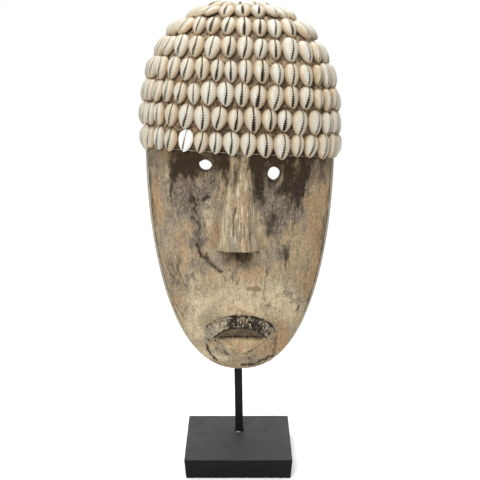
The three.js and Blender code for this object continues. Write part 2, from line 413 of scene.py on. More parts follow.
def egg_reach(egg, direction_u, direction_v):
    """How far an egg outline lies from the middle of the grid, in a direction."""
    def outside(reach):
        return egg_level(egg, direction_u * reach, MIDDLE_V + direction_v * reach) > 1

    return halved(outside, np.full_like(direction_u, EGG_LIMIT), EGG_ROUNDS)


def face_height(u, v):
    """Height of the face in front of the rim plane, without nose and muzzle."""
    level = np.minimum(1, egg_level(FACE, u, v))
    power = lerp(FACE_POWER, BROW_POWER, smoothstep(v, BROW_FROM, BROW_TO))
    dish = np.maximum(0, 1 - ((v - DISH_MID) / DISH_REACH) ** 2) ** 2
    return WALL_DEPTH + FACE_RISE * (1 - level) ** power - CHEEK_DISH * dish * (1 - level)


def hollow_height(u, v):
    level = np.minimum(1, egg_level(HOLLOW, u, v))
    return HOLLOW_DEPTH * (1 - level) ** HOLLOW_POWER


def square_to_egg(egg, a, b):
    """Maps the square from -1 to 1 onto the inside of an egg outline."""
    x = a * np.sqrt(1 - b * b / 2)
    y = b * np.sqrt(1 - a * a / 2)
    radius = np.hypot(x, y)
    along_u = x * FACE["half"]
    along_v = y * HALF_V
    length = np.maximum(1e-9, np.hypot(along_u, along_v))
    along_u = along_u / length
    along_v = along_v / length
    reach = egg_reach(egg, along_u, along_v)
    return along_u * reach * radius, MIDDLE_V + along_v * reach * radius


def grid_rows(t):
    """Where the evenly spaced rows of the primitive grid go: closer together below the cap."""
    rows = (t + 1) / 2 * (FINE_ROWS + CAP_ROWS)
    split = (CAP_FROM - MIDDLE_V) / HALF_V
    fine = lerp(-1, split, rows / FINE_ROWS)
    coarse = lerp(split, 1, (rows - FINE_ROWS) / CAP_ROWS)
    return np.where(rows <= FINE_ROWS, fine, coarse)


def nose_down(v):
    """0 at the root of the nose, 1 at its tip."""
    return np.clip((NOSE_TOP_V - v) / (NOSE_TOP_V - NOSE_TIP_V), 0, 1)


def nose_grid(column, row, u, v):
    """Pulls the grid lines round the nose onto its edges."""
    side = np.abs(column)
    down = nose_down(v)
    front = lerp(*NOSE_FRONT, down)
    foot = lerp(*NOSE_FOOT, down)
    out = (side - NOSE_FRONT_COLUMN) / (NOSE_FOOT_COLUMN - NOSE_FRONT_COLUMN)
    past = (side - NOSE_FOOT_COLUMN) / (NOSE_FAR_COLUMN - NOSE_FOOT_COLUMN)
    bent = np.where(side < NOSE_FOOT_COLUMN, lerp(front, foot, out), lerp(foot, NOSE_FAR_COLUMN, past))
    bent = np.where(side < NOSE_FRONT_COLUMN, front * side / NOSE_FRONT_COLUMN, bent)
    middle = lerp(lerp(*NOSE_FRONT_X, down), lerp(*NOSE_FOOT_X, down), np.clip(out, 0, 1))
    near = 1 - smoothstep(side, NOSE_NEAR_COLUMN, NOSE_FAR_COLUMN)
    new_u = lerp(u, middle + np.sign(column) * bent, near * window(row, *NOSE_ROWS))
    first, *_, last = TIP_ROWS
    knots = (first, NOSE_FOOT_ROW, NOSE_TIP_ROW, last)
    bent_v = np.interp(row, knots, (first, NOSE_FOOT_V, NOSE_TIP_V, last))
    close = 1 - smoothstep(side, *TIP_COLUMNS)
    return new_u, lerp(v, bent_v, close * window(row, *TIP_ROWS))


def nose_lift(column, row):
    """0 on the face, 1 on the front of the nose."""
    side = (NOSE_FOOT_COLUMN - np.abs(column)) / (NOSE_FOOT_COLUMN - NOSE_FRONT_COLUMN)
    under = (row - NOSE_FOOT_ROW) / (NOSE_TIP_ROW - NOSE_FOOT_ROW)
    return np.clip(np.minimum(side, under), 0, 1)


def nose_height(column, row, v):
    """Height of the nose's front, rounded across and a little uneven."""
    down = nose_down(v)
    crown = NOSE_CROWN * down * (1 - np.clip(np.abs(column) / NOSE_FRONT_COLUMN, 0, 1) ** 2)
    ridge = lerp(*NOSE_RIDGE, down) + crown
    ridge = ridge + NOSE_UNEVEN * rough_noise(column / 5, row / 40, 41, 2) * down
    return ridge - NOSE_TIP_EASE * bell(row - NOSE_TIP_ROW, 1.5)


def muzzle_height(u, v):
    reach = np.where(v > MUZZLE["v"], MUZZLE["up"], MUZZLE["down"])
    power = MUZZLE["power"]
    across = np.abs(u / MUZZLE["half"]) ** power
    radius = (across + np.abs((v - MUZZLE["v"]) / reach) ** power) ** (1 / power)
    dome = MUZZLE["rise"] * np.sqrt(np.maximum(0, 1 - radius ** 2)) - MUZZLE["sunk"]
    return np.maximum(0, dome)


def lip_lines(u):
    """Heights of the upper lip's outer and inner edge, the mouth line and the lower lip's edge."""
    lip = np.clip(np.abs(u / LIP_HALF), 0, 1)
    mouth = np.clip(np.abs(u / MOUTH_HALF), 0, 1)
    outer = LIP_V + LIP_RISE * np.sqrt(1 - lip ** 2)
    inner = INNER_V + INNER_RISE * (1 - mouth ** 2.4)
    inner = inner + INNER_SLOPE * np.maximum(0, np.abs(u) - MOUTH_HALF)
    line = LINE_V - LINE_SAG * mouth ** 2
    pulled = np.clip(np.abs(u - LOWER_LIP_X * (1 - mouth ** 2)) / MOUTH_HALF, 0, 1)
    low = LOWER_LIP_V - LOWER_LIP_DROP * (1 - pulled ** 1.15)
    return outer, inner, line, low


def mouth_relief(u, v):
    """A beaded upper lip, the hollow of the mouth and the ledge under the lower lip."""
    outer, inner, line, low = lip_lines(u)
    side = np.clip(np.abs(u) / MOUTH_HALF, 0, 1)
    depth = MOUTH_DEPTH * (1 - side ** 2.5) ** 0.7
    upper = np.clip((inner - v) / np.maximum(LIP_LEAST, inner - line), 0, 1)
    lower = np.clip((v - low) / np.maximum(LIP_LEAST, line - low), 0, 1)
    carve = np.where(v > line, upper, lower)
    band = np.clip((v - inner) / np.maximum(LIP_LEAST, outer - inner), 0, 1)
    inside = (np.abs(u) < LIP_HALF).astype(float)
    bead = LIP_BEAD * (4 * band * (1 - band)) ** 0.6 * inside
    edge = LIP_GROOVE * bell(v - outer, 0.9) * inside
    chin = CHIN_LEDGE * bell(v - low + 4.0, 2.6) * (1 - side ** 2)
    groove = CHIN_GROOVE * bell(v - low + 0.6, 1.1) * (1 - side ** 2) ** 0.4
    return bead - edge + chin - groove - depth * carve


# Grooves and cracks: points in the mask's frame, half width, depth, dirt with painted shade, and black
# paint in them
STROKES = [
    ([(-32, 34), (-30.5, 29), (-27, 23), (-22, 17.5)], 1.1, 1.6, 0.4, 0.68),
    ([(33.6, 41), (33.8, 33), (32.2, 24)], 0.8, 0.7, 0.7, 0.3),
    ([(2, 13.8), (9, 13.4), (16, 14.8), (20, 18), (31, 21.5)], 1.3, 0.9, 0.3, 0.66),
    ([(-33.5, 43), (-31, 41.5), (-28.5, 40.5)], 0.8, 0.4, 0.2, 0.55),
    ([(5, 24), (8, 22.5), (13, 24.5)], 0.8, 0.4, 0.2, 0.5),
    ([(-39, 136), (-35.5, 125), (-29, 123), (-25, 117), (-18, 111)], 1.2, 0.9, 1.0, 0.0),
    ([(27, 115), (24, 109), (22.5, 99), (21.6, 91), (23, 82)], 0.7, 0.5, 0.6, 0.0),
    ([(27.5, 77), (25.5, 72), (24, 67)], 0.5, 0.3, 0.35, 0.0),
    ([(-58, 114), (-56, 104), (-52, 95)], 0.8, 0.3, 0.55, 0.0),
    ([(55, 74), (55.5, 71.5), (54, 69)], 0.7, 0.4, 0.6, 0.5),
    ([(-66, 88), (-62, 76), (-56, 64), (-52, 57)], 0.6, 0.3, 0.3, 0.0),
    ([(7, 158), (8.2, 150), (8.5, 144)], 0.6, 0.4, 0.6, 0.0),
    ([(-4.5, 172), (-5.5, 160), (-7, 148)], 0.9, 0.5, 0.9, 0.0),
    ([(0.5, 213), (-3, 204), (-5.5, 195), (-6.5, 186)], 1.3, 0.5, 0.7, 0.0),
    ([(-8, 206), (-12, 192), (-15, 180)], 0.8, 0.3, 0.5, 0.0),
    ([(-10.5, 138), (-10.5, 150), (-9.5, 165)], 0.5, 0.2, 0.35, 0.0),
    ([(-85, 214), (-84, 196), (-82, 176), (-79, 150)], 0.7, 0.4, 0.7, 0.0),
    ([(85, 212), (83.5, 190), (81, 165), (76, 140)], 0.6, 0.4, 0.6, 0.0),
]


def stroke_strength(u, v, points, half_width):
    """1 on a polyline, falling to 0 beside it."""
    best = np.full(u.shape, np.inf)
    wander = STROKE_WANDER * lattice_noise(u / 4, v / 4, 77)
    for (u0, v0), (u1, v1) in zip(points, points[1:]):
        du, dv = u1 - u0, v1 - v0
        t = np.clip(((u - u0) * du + (v - v0) * dv) / (du * du + dv * dv), 0, 1)
        best = np.minimum(best, np.hypot(u - u0 - t * du + wander, v - v0 - t * dv))
    return bell(best, half_width)


def eye_radius(eye, u, v):
    """1 on the edge of an eye hole."""
    return np.hypot((u - eye["u"]) / eye["half_u"], (v - eye["v"]) / eye["half_v"])


# Tool marks on the face: height, size across and along the grain, seed, octaves
TOOL_MARKS = [(0.55, 26, 44, 11, 2), (0.22, 3.2, 26, 21, 3), (0.12, 5, 5, 31, 3)]


def carving_relief(u, v):
    """The maker's uneven surface: soft facets, ridges of the grain, grooves and cracks."""
    relief = 0
    for height, across, along, seed, octaves in TOOL_MARKS:
        relief = relief + height * rough_noise(u / across, v / along, seed, octaves)
    for points, half_width, depth, *_ in STROKES:
        relief = relief - depth * stroke_strength(u, v, points, half_width)
    for eye in EYES:
        outside = np.maximum(0, eye_radius(eye, u, v) - 0.9)
        relief = relief - EYE_BEVEL * np.exp(-outside ** 2 / 0.03)
    return relief


def face_points(a, b):
    """The face with its nose, muzzle, lips and relief."""
    column = a * FACE["half"]
    row = MIDDLE_V + b * HALF_V
    u, v = nose_grid(column, row, *square_to_egg(FACE, a, b))
    height = face_height(u, v)
    lift = nose_lift(column, row) * (1 - smoothstep(v, NOSE_TOP_V - 1, NOSE_TOP_V + 4))
    height = height + lift * np.maximum(0, nose_height(column, row, v) - height)
    height = height + muzzle_height(u, v) + mouth_relief(u, v)
    quiet = 1 - smoothstep(egg_level(FACE, u, v), 0.9, 1.0)
    height = height + carving_relief(u, v) * quiet
    return np.stack([u, v, np.maximum(height, WALL_DEPTH)], 1)


def wall_points(a, b, down):
    """The side wall, from the edge of the face down to the rim."""
    face_u, face_v = square_to_egg(FACE, a, b)
    rim_u, rim_v = square_to_egg(RIM, a, b)
    tool = WALL_UNEVEN * rough_noise((face_u + face_v) / 9, down * 1.5, 51, 3)
    spread = 1 + tool * np.sin(math.pi * down) / 100
    u = lerp(face_u, rim_u, down) * spread
    v = MIDDLE_V + (lerp(face_v, rim_v, down) - MIDDLE_V) * spread
    return np.stack([u, v, WALL_DEPTH * (1 - down)], 1)


def hollow_points(a, b):
    """The hollow behind, with the long strokes of the gouge."""
    u, v = square_to_egg(HOLLOW, a, b)
    gouge = np.abs(np.sin(u / 3.4 + 1.6 * lattice_noise(u / 24, v / 40, 61)))
    strokes = gouge ** 0.7 * (0.6 + 0.4 * lattice_noise(u / 9, v / 55, 62))
    depth = hollow_height(u, v)
    return np.stack([u, v, depth + (GOUGE_DEPTH * strokes - GOUGE_LEVEL) * smoothstep(depth, 1, 12)], 1)


def head_points(square):
    """Turns the flat grid with its layers into the head, in the mask's frame."""
    a, t, layer = square.T
    face = layer > -0.5
    inner = layer < -WALL_RINGS - 0.5
    wall = ~face & ~inner
    points = np.zeros_like(square)
    points[face] = face_points(a[face], grid_rows(t[face]))
    points[wall] = wall_points(a[wall], grid_rows(t[wall]), -layer[wall] / WALL_RINGS)
    points[inner] = hollow_points(a[inner], t[inner])
    return points


def head_mesh():
    """A grid for the face, extruded back for the wall and bridged to a grid for the hollow."""
    piece = add_primitive(
        "carved_mask", bpy.ops.mesh.primitive_grid_add,
        x_subdivisions=COLUMNS, y_subdivisions=FINE_ROWS + CAP_ROWS, size=2,
    )
    switch_to("EDIT")
    bpy.ops.mesh.select_all(action="SELECT")
    bpy.ops.mesh.region_to_loop()
    for _ in range(WALL_RINGS):
        bpy.ops.mesh.extrude_region_move(TRANSFORM_OT_translate={"value": (0, 0, -1)})
    switch_to("OBJECT")
    inside = add_primitive(
        "hollow", bpy.ops.mesh.primitive_grid_add,
        x_subdivisions=INNER_COLUMNS, y_subdivisions=INNER_ROWS, size=2,
        location=(0, 0, -WALL_RINGS - 2),
    )
    bpy.ops.object.transform_apply(location=True)
    join(piece, inside)
    switch_to("EDIT")
    bpy.ops.mesh.select_mode(type="EDGE")
    bpy.ops.mesh.select_all(action="DESELECT")
    bpy.ops.mesh.select_non_manifold()
    bpy.ops.mesh.bridge_edge_loops()
    switch_to("OBJECT")
    write_points(piece, head_points(read_points(piece)))
    edit(piece, bpy.ops.mesh.normals_make_consistent, inside=False)
    return piece


def eye_cutter(eye):
    """An uneven round hole through the wood."""
    cutter = add_primitive("eye", bpy.ops.mesh.primitive_cylinder_add, vertices=40, radius=1, depth=60)
    x, y, z = read_points(cutter).T
    angle = np.arctan2(y, x)
    uneven = 1 + EYE_UNEVEN * lattice_noise(angle * 1.9 + 9, np.full_like(angle, eye["seed"]), 71)
    u = x * uneven * eye["half_u"] + eye["u"]
    v = y * uneven * eye["half_v"] + eye["v"]
    write_points(cutter, np.stack([u, v, z + HOLLOW_DEPTH], 1))
    return cutter


def rod_points(points):
    """Leans an upright rod about the block's top and puts it in its place."""
    x, y, z = points.T
    return np.stack([x + ROD_FOOT_X - math.tan(ROD_LEAN) * (z - BLOCK_HEIGHT), y + ROD_FOOT_Y, z], 1)


def socket_cutter(low, high):
    side = ROD_SIDE + 2 * FIT_GAP
    cutter = add_primitive("socket", bpy.ops.mesh.primitive_cube_add, size=1)
    points = read_points(cutter) * (side, side, high - low)
    write_points(cutter, rod_points(points + (0, 0, (low + high) / 2)))
    return cutter


def spot_sum(u, v, spots, seed):
    """Soft blots: centre, half sizes and strength of each, drawn out along the grain."""
    streak = lattice_noise(u / 2.2, v / 34, seed)
    ragged_u = u + 2.4 * rough_noise(u / 7, v / 11, seed, 3)
    ragged_v = v + 5 * rough_noise(u / 7 + 40, v / 13, seed, 3) + 5 * streak
    clear = np.ones_like(u)
    for spot_u, spot_v, half_u, half_v, strength in spots:
        away = np.hypot((ragged_u - spot_u) / half_u, (ragged_v - spot_v) / half_v)
        clear = clear * (1 - min(SPOT_MOST, strength) * np.exp(-1.1 * away ** 2.4))
    return 1 - clear


# Dark stains. The thin strips along the cap's edge, v 214 to 222, are painted shadow of the cap, and the
# spot just under the left eye hole is painted shade.
DARK_SPOTS = [
    (-50, 210, 15, 10, 1.0), (-58, 200, 8, 7, 0.6), (-44, 200, 6, 6, 0.6), (-38, 217, 20, 4, 0.6),
    (-14, 212, 6, 13, 0.8), (-12, 196, 3.5, 8, 0.55), (14, 211, 8, 11, 0.95), (17, 196, 7, 13, 0.85),
    (20, 180, 4, 9, 0.55), (27, 215, 14, 5, 0.8), (50, 216, 26, 4, 0.5), (72, 214, 11, 5, 0.4),
    (43, 199, 5, 12, 1.0), (57, 198, 6, 14, 1.0), (50, 187, 8, 10, 0.9), (38, 188, 6, 9, 0.7),
    (48, 174, 9, 9, 0.45), (-31, 179, 4.5, 2.5, 0.7), (-40, 189, 5, 4, 0.5), (-41, 177, 4, 3, 0.7),
    (-42, 169, 4, 4, 0.48), (-40, 158, 3, 4, 0.45), (-37, 150, 2.5, 5, 0.35), (-46, 182, 4, 9, 0.4),
    (-62, 186, 2, 9, 0.65), (-84, 205, 4, 16, 0.35), (-38, 135, 5, 9, 0.38), (-32, 202, 7, 2.5, 0.45),
    (30, 195, 4, 9, 0.6), (-12, 222, 8, 4, 0.6), (-55, 221, 9, 4, 0.6), (20, 220, 8, 5, 0.6),
    (0, 222, 8, 3, 0.45), (-31, 127, 4, 4, 0.5), (42, 125, 4, 7, 0.45), (-13, 30, 4, 2.6, 0.5),
    (7, 25, 4, 2, 0.5), (30, 160, 4, 10, 0.6), (27, 148, 3, 7, 0.5), (-3, 104, 2.5, 5, 0.35),
    (-51, 71, 2, 3.5, 0.45),
]
VEIL_SPOTS = [
    (-55, 188, 14, 16, 0.95), (-42, 178, 12, 20, 0.75), (-56, 170, 10, 14, 0.6), (-30, 185, 10, 14, 0.65),
    (-38, 155, 8, 14, 0.55), (-24, 190, 6, 12, 0.5), (20, 185, 10, 22, 0.9), (28, 160, 9, 16, 0.85),
    (44, 170, 12, 14, 0.75), (50, 160, 8, 16, 0.5), (56, 176, 7, 14, 0.5), (34, 150, 8, 10, 0.5),
    (-38, 138, 9, 12, 0.7), (-47, 140, 5, 6, 0.25), (-64, 112, 7, 14, 0.5), (-48, 110, 14, 12, 0.25),
    (-62, 100, 7, 10, 0.5), (-44, 97, 10, 9, 0.25), (32, 186, 5, 18, 0.85), (-28, 196, 9, 7, 0.5),
    (-36, 120, 10, 8, 0.4), (-52, 70, 5, 7, 0.45), (-34, 62, 12, 12, 0.12), (32, 48, 6, 10, 0.4),
    (36, 138, 16, 7, 0.3), (76, 200, 5, 10, 0.75), (76, 134, 5, 16, 0.5), (27, 73, 8, 5, 0.4),
    (31, 36, 6, 7, 0.5), (42, 128, 7, 10, 0.6), (21, 124, 9, 10, 0.45), (0, 116, 13, 8, 0.5),
    (46, 84, 10, 16, 0.25), (60, 80, 7, 20, 0.3), (-10, 110, 6, 8, 0.4), (-20, 34, 8, 9, 0.25),
    (14, 20, 14, 5, 0.2), (-78, 205, 6, 16, 0.3), (-68, 160, 5, 20, 0.3), (-4, 204, 2.2, 11, 0.8),
    (-10, 143, 3, 9, 0.4), (66, 198, 6, 14, 0.4), (64, 110, 5, 10, 0.3), (24, 204, 8, 8, 0.6),
]
TAN_SPOTS = [
    (-78, 176, 8, 24, 0.9), (-55, 141, 9, 9, 0.6), (-70, 124, 7, 12, 0.6), (2, 139, 5, 6, 1.0),
    (4, 172, 3, 16, 0.7), (6, 150, 4, 8, 0.5), (69, 168, 7, 34, 0.7), (60, 176, 6, 18, 0.5),
    (73, 116, 6, 14, 0.9), (66, 94, 8, 18, 0.9), (74, 140, 5, 20, 0.8), (-21, 152, 5, 28, 0.6),
    (1, 70, 18, 3.5, 0.9), (31, 62, 6, 3, 0.6), (27, 75, 9, 5, 0.55), (12, 110, 16, 15, 0.7),
    (70, 200, 6, 12, 0.6), (56, 185, 5, 12, 0.4), (-62, 78, 8, 8, 0.8), (40, 58, 9, 6, 0.6),
    (44, 51, 9, 5, 0.8), (38, 38, 10, 14, 1.0), (25, 28, 8, 7, 0.9), (13, 32, 7, 4, 0.8),
    (44, 104, 12, 10, 0.4), (-6, 104, 14, 8, 0.4), (80, 186, 6, 20, 0.5), (35, 145, 10, 14, 0.35),
    (-60, 112, 6, 10, 0.4), (14, 145, 4, 24, 0.4),
]
# Pale worn wood. The long spots on both side facets of the nose, and some broad ones on the chin, are
# painted light.
PALE_AND_LIT_SPOTS = [
    (0, 86, 34, 18, 0.7), (-65, 196, 4, 22, 0.7), (-46, 50, 12, 16, 0.7), (-10, 172, 4.5, 44, 0.8),
    (50, 76, 14, 16, 0.5), (-16, 150, 4, 22, 0.7), (-66, 60, 10, 20, 0.5), (20, 24, 6, 4, 0.5),
    (0, 108, 30, 10, 0.4), (-14, 22, 10, 5, 0.6), (-32, 171, 6, 8, 0.9), (-28, 157, 5, 12, 0.6),
    (-36, 190, 4, 4, 0.5), (-38, 46, 7, 8, 0.6), (12, 160, 3, 30, 0.5), (-45, 20, 20, 14, 0.5),
    (60, 50, 14, 24, 0.4), (36, 84, 20, 22, 0.6), (44, 62, 10, 18, 0.3), (-40, 76, 14, 16, 0.8),
    (-44, 100, 10, 10, 0.4), (15, 150, 5, 30, 1.0), (0, 70, 24, 8, 0.6), (-26, 24, 12, 10, 0.6),
    (-66, 130, 6, 16, 0.4), (-44, 106, 8, 12, 0.4), (-40, 134, 8, 8, 0.3), (-11, 36, 6, 6, 0.6),
]
FLECK_SPOTS = [
    (-41, 180, 5, 8, 0.34), (-42, 165, 4, 10, 0.36), (-30, 178, 6, 8, 0.28), (-37, 150, 4, 10, 0.28),
    (-62, 183, 3, 9, 0.3), (20, 185, 3, 12, 0.25), (-24, 196, 5, 5, 0.25), (-57, 112, 3, 12, 0.22),
    (-60, 104, 9, 9, 0.14), (-20, 36, 8, 8, 0.16), (31, 165, 4, 12, 0.2), (8, 24, 8, 3, 0.25),
    (-52, 72, 3, 4, 0.2), (-36, 128, 5, 6, 0.2), (40, 126, 4, 6, 0.2), (56, 76, 5, 8, 0.16),
]
STAINS = ((DARK_SPOTS, 101), (VEIL_SPOTS, 111), (TAN_SPOTS, 121), (PALE_AND_LIT_SPOTS, 131))
FLECK_SEED = 171
FILLER = {"u": 13.2, "v": 94.4, "half_u": 7.2, "half_v": 2.5, "slope": 0.1}

# How the lowest row of shells dips across the face
CAP_SLOPE = 0.05


def filler_patch(u, v):
    """The rounded oblong of brown filler above the mouth."""
    across = (u - FILLER["u"]) / FILLER["half_u"]
    along = (v - FILLER["v"] + FILLER["slope"] * (u - FILLER["u"])) / FILLER["half_v"]
    return 1 - smoothstep(across ** 4 + along ** 4, 0.5, 1.3)


def lip_tones(u, v):
    """Worn black paint and painted shade of the mouth, its lower lip, and veil and band of the upper one.
    """
    outer, inner, line, low = lip_lines(u)
    in_lips = np.abs(u) < LIP_HALF
    in_mouth = np.abs(u) < MOUTH_HALF
    band = (v > inner - 0.8) & (v < outer + 0.4) & in_lips
    rightward = smoothstep(u, -20, -8)
    middle = bell(u + 5, 6) + bell(u - 13, 10)
    patches = 0.75 + 0.25 * rough_noise(u / 5, v / 5, 141, 3)
    worn = band * (0.2 + 0.1 * rightward + 0.5 * middle) * patches
    thick = 0.5 - 0.28 * bell(u + 16, 8) + 0.25 * smoothstep(u, 2, 12)
    thick = thick + 0.3 * rough_noise(u / 5, np.zeros_like(u), 161, 2)
    outer_edge = bell(v - outer, 1.1) * in_lips * thick
    inner_edge = 0.95 * bell(v - inner - 0.4, 1.3) * in_mouth
    lower_edge = 0.42 * bell(v - low + 0.8, 1.3) * in_mouth * smoothstep(np.abs(u + 4), 5, 14)
    black = np.maximum.reduce([worn, outer_edge, inner_edge, lower_edge])
    # Painted shade along the mouth line and under the upper lip
    mouth_line_shade = bell(v - line, 2.4) * (1 - smoothstep(np.abs(u), MOUTH_HALF - 8, MOUTH_HALF))
    shade = np.maximum(0.7 * ((v < inner) & (v > line) & in_mouth), mouth_line_shade)
    lower_lip = smoothstep(v - low, -0.8, 0.8) * (v < line) * in_mouth
    veil = (0.15 + 0.25 * rightward) * band
    return black, shade, lower_lip, veil, band


def face_shades(u, v, level):
    """Painted shade, with some dirt, in the corners of the face: its edge, the nose's foot, under nose
    and cap, in the eyes.
    """
    # Dirt and painted shade along the crease between the face and its side wall
    edge = bell(level - 0.972, 0.013) * (0.75 + 0.9 * rough_noise(v / 6, u / 12, 151, 3))
    edge = 1.1 * edge * (v < 228) * smoothstep(v, 20, 90)
    down = nose_down(v)
    from_foot = np.abs(u - lerp(*NOSE_FOOT_X, down)) - lerp(*NOSE_FOOT, down)
    # Painted shade beside the nose's foot
    nose_foot_shade = 0.22 * bell(from_foot - 1.0, 3.0) * (v > 132) * (v < 215)
    # Painted shadow under the nose
    nose_shadow = np.exp(-((u + 1) / 15) ** 4) * smoothstep(v, 111, 126) * (v < NOSE_TIP_V - 0.5)
    # Painted shadow under the cap, weaker towards the sides
    sides = (1 - 0.6 * smoothstep(-u, 56, 72)) * (1 - 0.5 * smoothstep(u, 58, 72))
    cap_shadow = window(v + CAP_SLOPE * u, 190, 211, 220, 226) * smoothstep(np.abs(u - 1), 7, 11)
    shades = [edge, nose_foot_shade, 0.85 * nose_shadow, 0.95 * cap_shadow * sides]
    # Painted shade round the eye holes
    for eye in EYES:
        shades.append(0.9 * (1 - smoothstep(eye_radius(eye, u, v), 1.05, 1.5)))
    return shades


def mask_tones(piece):
    """Paint, stains, wear and painted shade of every vertex of the mask, still in the mask's frame."""
    u, v, w = read_points(piece).T
    height = face_height(u, v)
    level = egg_level(FACE, u, v)
    front = (w > height - 6) & (level < 0.9995)
    inside = (egg_level(HOLLOW, u, v) < 1.002) & (w < hollow_height(u, v) + 3)
    seen = 1.0 - inside
    dark, veil, tan, pale = (spot_sum(u, v, spots, seed) * seen for spots, seed in STAINS)
    lip_black, lip_shade, lower_lip, lip_veil, band = lip_tones(u, v)
    veil = np.maximum(veil, lip_veil)
    tan = np.maximum(tan, 0.6 * lower_lip)
    pale = np.maximum(pale, 0.75 * lower_lip)
    blacks = [lip_black, spot_sum(u, v, FLECK_SPOTS, FLECK_SEED)]
    shades = [lip_shade, *face_shades(u, v, level)]
    # Grooves and cracks get dirt and painted shade, and some black paint
    for points, half_width, _, shade_and_dirt, paint in STROKES:
        mark = stroke_strength(u, v, points, half_width * 1.4)
        shades.append(mark * shade_and_dirt)
        blacks.append(mark * paint)
    black = np.maximum.reduce(blacks) * front
    # Dirt and painted shade in the grooves and corners
    painted_shade_and_dirt = np.maximum.reduce(shades) * seen
    cap = smoothstep(v + CAP_SLOPE * u, 220, 225) * seen
    dusty = smoothstep(v, 255, 320) * 0.8 + smoothstep(np.abs(u + 8), 38, 70) * 0.6
    pale = np.where(cap > 0.5, np.minimum(1, dusty), pale)
    side_wall = ~(front | inside)
    nose = (v > NOSE_TIP_V - 1) * (w > height + 1.5) * (1 - smoothstep(v, 208, 218)) * front
    write_tones(piece, "stains", [dark, veil, tan, black])
    # The wear attribute holds pale wear, dirt with painted shade, the cap and the side wall
    write_tones(piece, "wear", [pale, painted_shade_and_dirt, cap, side_wall])
    write_tones(piece, "patch", [filler_patch(u, v) * front, inside, nose, band & front])


class Socket:
    """A number that varies over a surface, which can be used in ordinary sums."""

    def __init__(self, nodes, output):
        self.nodes = nodes
        self.output = output

    def sum(self, operation, first, second, clamp=False):
        settings = {"operation": operation, "use_clamp": clamp}
        return self.nodes.node("ShaderNodeMath", settings, {0: first, 1: second})

    def __add__(self, other):
        return self.sum("ADD", self, other)

    def __sub__(self, other):
        return self.sum("SUBTRACT", self, other)

    def __rsub__(self, other):
        return self.sum("SUBTRACT", other, self)

    def __mul__(self, other):
        return self.sum("MULTIPLY", self, other)

    __radd__ = __add__
    __rmul__ = __mul__

    def most(self, other):
        return self.sum("MAXIMUM", self, other)

    def clamp(self):
        return self.sum("ADD", self, 0.0, clamp=True)

    def step(self, low, high):
        """0 below low, 1 above high and smooth between."""
        settings = {"interpolation_type": "SMOOTHSTEP"}
        return self.nodes.node("ShaderNodeMapRange", settings, {0: self, 1: low, 2: high})


class Nodes:
    """The nodes of a material or of the world."""

    def __init__(self, owner):
        owner.use_nodes = True
        self.tree = owner.node_tree

    def node(self, kind, settings=None, sockets=None, output=0):
        node = self.tree.nodes.new(kind)
        for key, value in (settings or {}).items():
            setattr(node, key, value)
        for key, value in (sockets or {}).items():
            self.feed(node.inputs[key], value)
        return Socket(self, node.outputs[output])

    def feed(self, socket, value):
        if isinstance(value, Socket):
            self.tree.links.new(value.output, socket)
        elif socket.type == "RGBA":
            socket.default_value = (*value, 1)
        else:
            socket.default_value = value


class Finish(Nodes):
    """A material with its nodes."""

    def __init__(self, name, **constants):
        self.material = bpy.data.materials.new(name)
        super().__init__(self.material)
        self.shader = self.tree.nodes["Principled BSDF"]
        for socket, value in constants.items():
            self.shader.inputs[socket.replace("_", " ")].default_value = value

    def place(self):
        return self.node("ShaderNodeTexCoord", output="Object")

    def noise(self, place, scale, detail=3.0, roughness=0.5, distortion=0.0):
        """Noise on one scale, or on three that draw it out along an axis."""
        if isinstance(scale, tuple):
            place = self.node("ShaderNodeVectorMath", {"operation": "MULTIPLY"}, {0: place, 1: scale})
            scale = 1.0
        inputs = {0: place, "Scale": scale, "Detail": detail, "Roughness": roughness}
        return self.node("ShaderNodeTexNoise", None, {**inputs, "Distortion": distortion})

    def blend(self, amount, first, second):
        settings = {"data_type": "RGBA", "blend_type": "MIX", "clamp_factor": True}
        return self.node("ShaderNodeMix", settings, {0: amount, 6: first, 7: second}, output=2)

    def coats(self, colour, layers):
        """Lays colours over a first one, each with its own amount."""
        for amount, layer in layers:
            colour = self.blend(amount, colour, layer)
        return colour

    def tones(self, name):
        """The four numbers that were stored on the vertices."""
        split = self.node("ShaderNodeAttribute", {"attribute_name": name}, output="Color")
        parts = self.node("ShaderNodeSeparateColor", None, {0: split})
        first, second, third = parts.output.node.outputs
        alpha = split.output.node.outputs["Alpha"]
        return [Socket(self, output) for output in (first, second, third, alpha)]

    def bump(self, height, distance, strength):
        inputs = {"Height": height, "Distance": distance, "Strength": strength}
        return self.node("ShaderNodeBump", None, inputs)

    def finish(self, colour, roughness, normal=None):
        self.feed(self.shader.inputs["Base Color"], colour)
        self.feed(self.shader.inputs["Roughness"], roughness)
        if normal:
            self.feed(self.shader.inputs["Normal"], normal)
        return self.material


# Colours of the bare wood
BARE_WARM = (0.36, 0.262, 0.148)
BARE_COOL = (0.235, 0.2, 0.142)
PALE_WOOD = (0.557, 0.458, 0.292)
MOTTLED_WOOD = (0.165, 0.12, 0.078)
TAN_WOOD = (0.37, 0.22, 0.1)
SIDE_WOOD = (0.42, 0.40, 0.33)
FIBRE_BROWN = (0.12, 0.088, 0.058)
CHECK_DARK = (0.085, 0.062, 0.04)
CHECK_LIGHT = (0.50, 0.42, 0.29)
GLINT = (0.56, 0.485, 0.36)
NOSE_DARK = (0.16, 0.135, 0.095)
NOSE_LIGHT = (0.60, 0.55, 0.42)
RAW_WARM = (0.31, 0.215, 0.12)
RAW_COOL = (0.225, 0.15, 0.085)

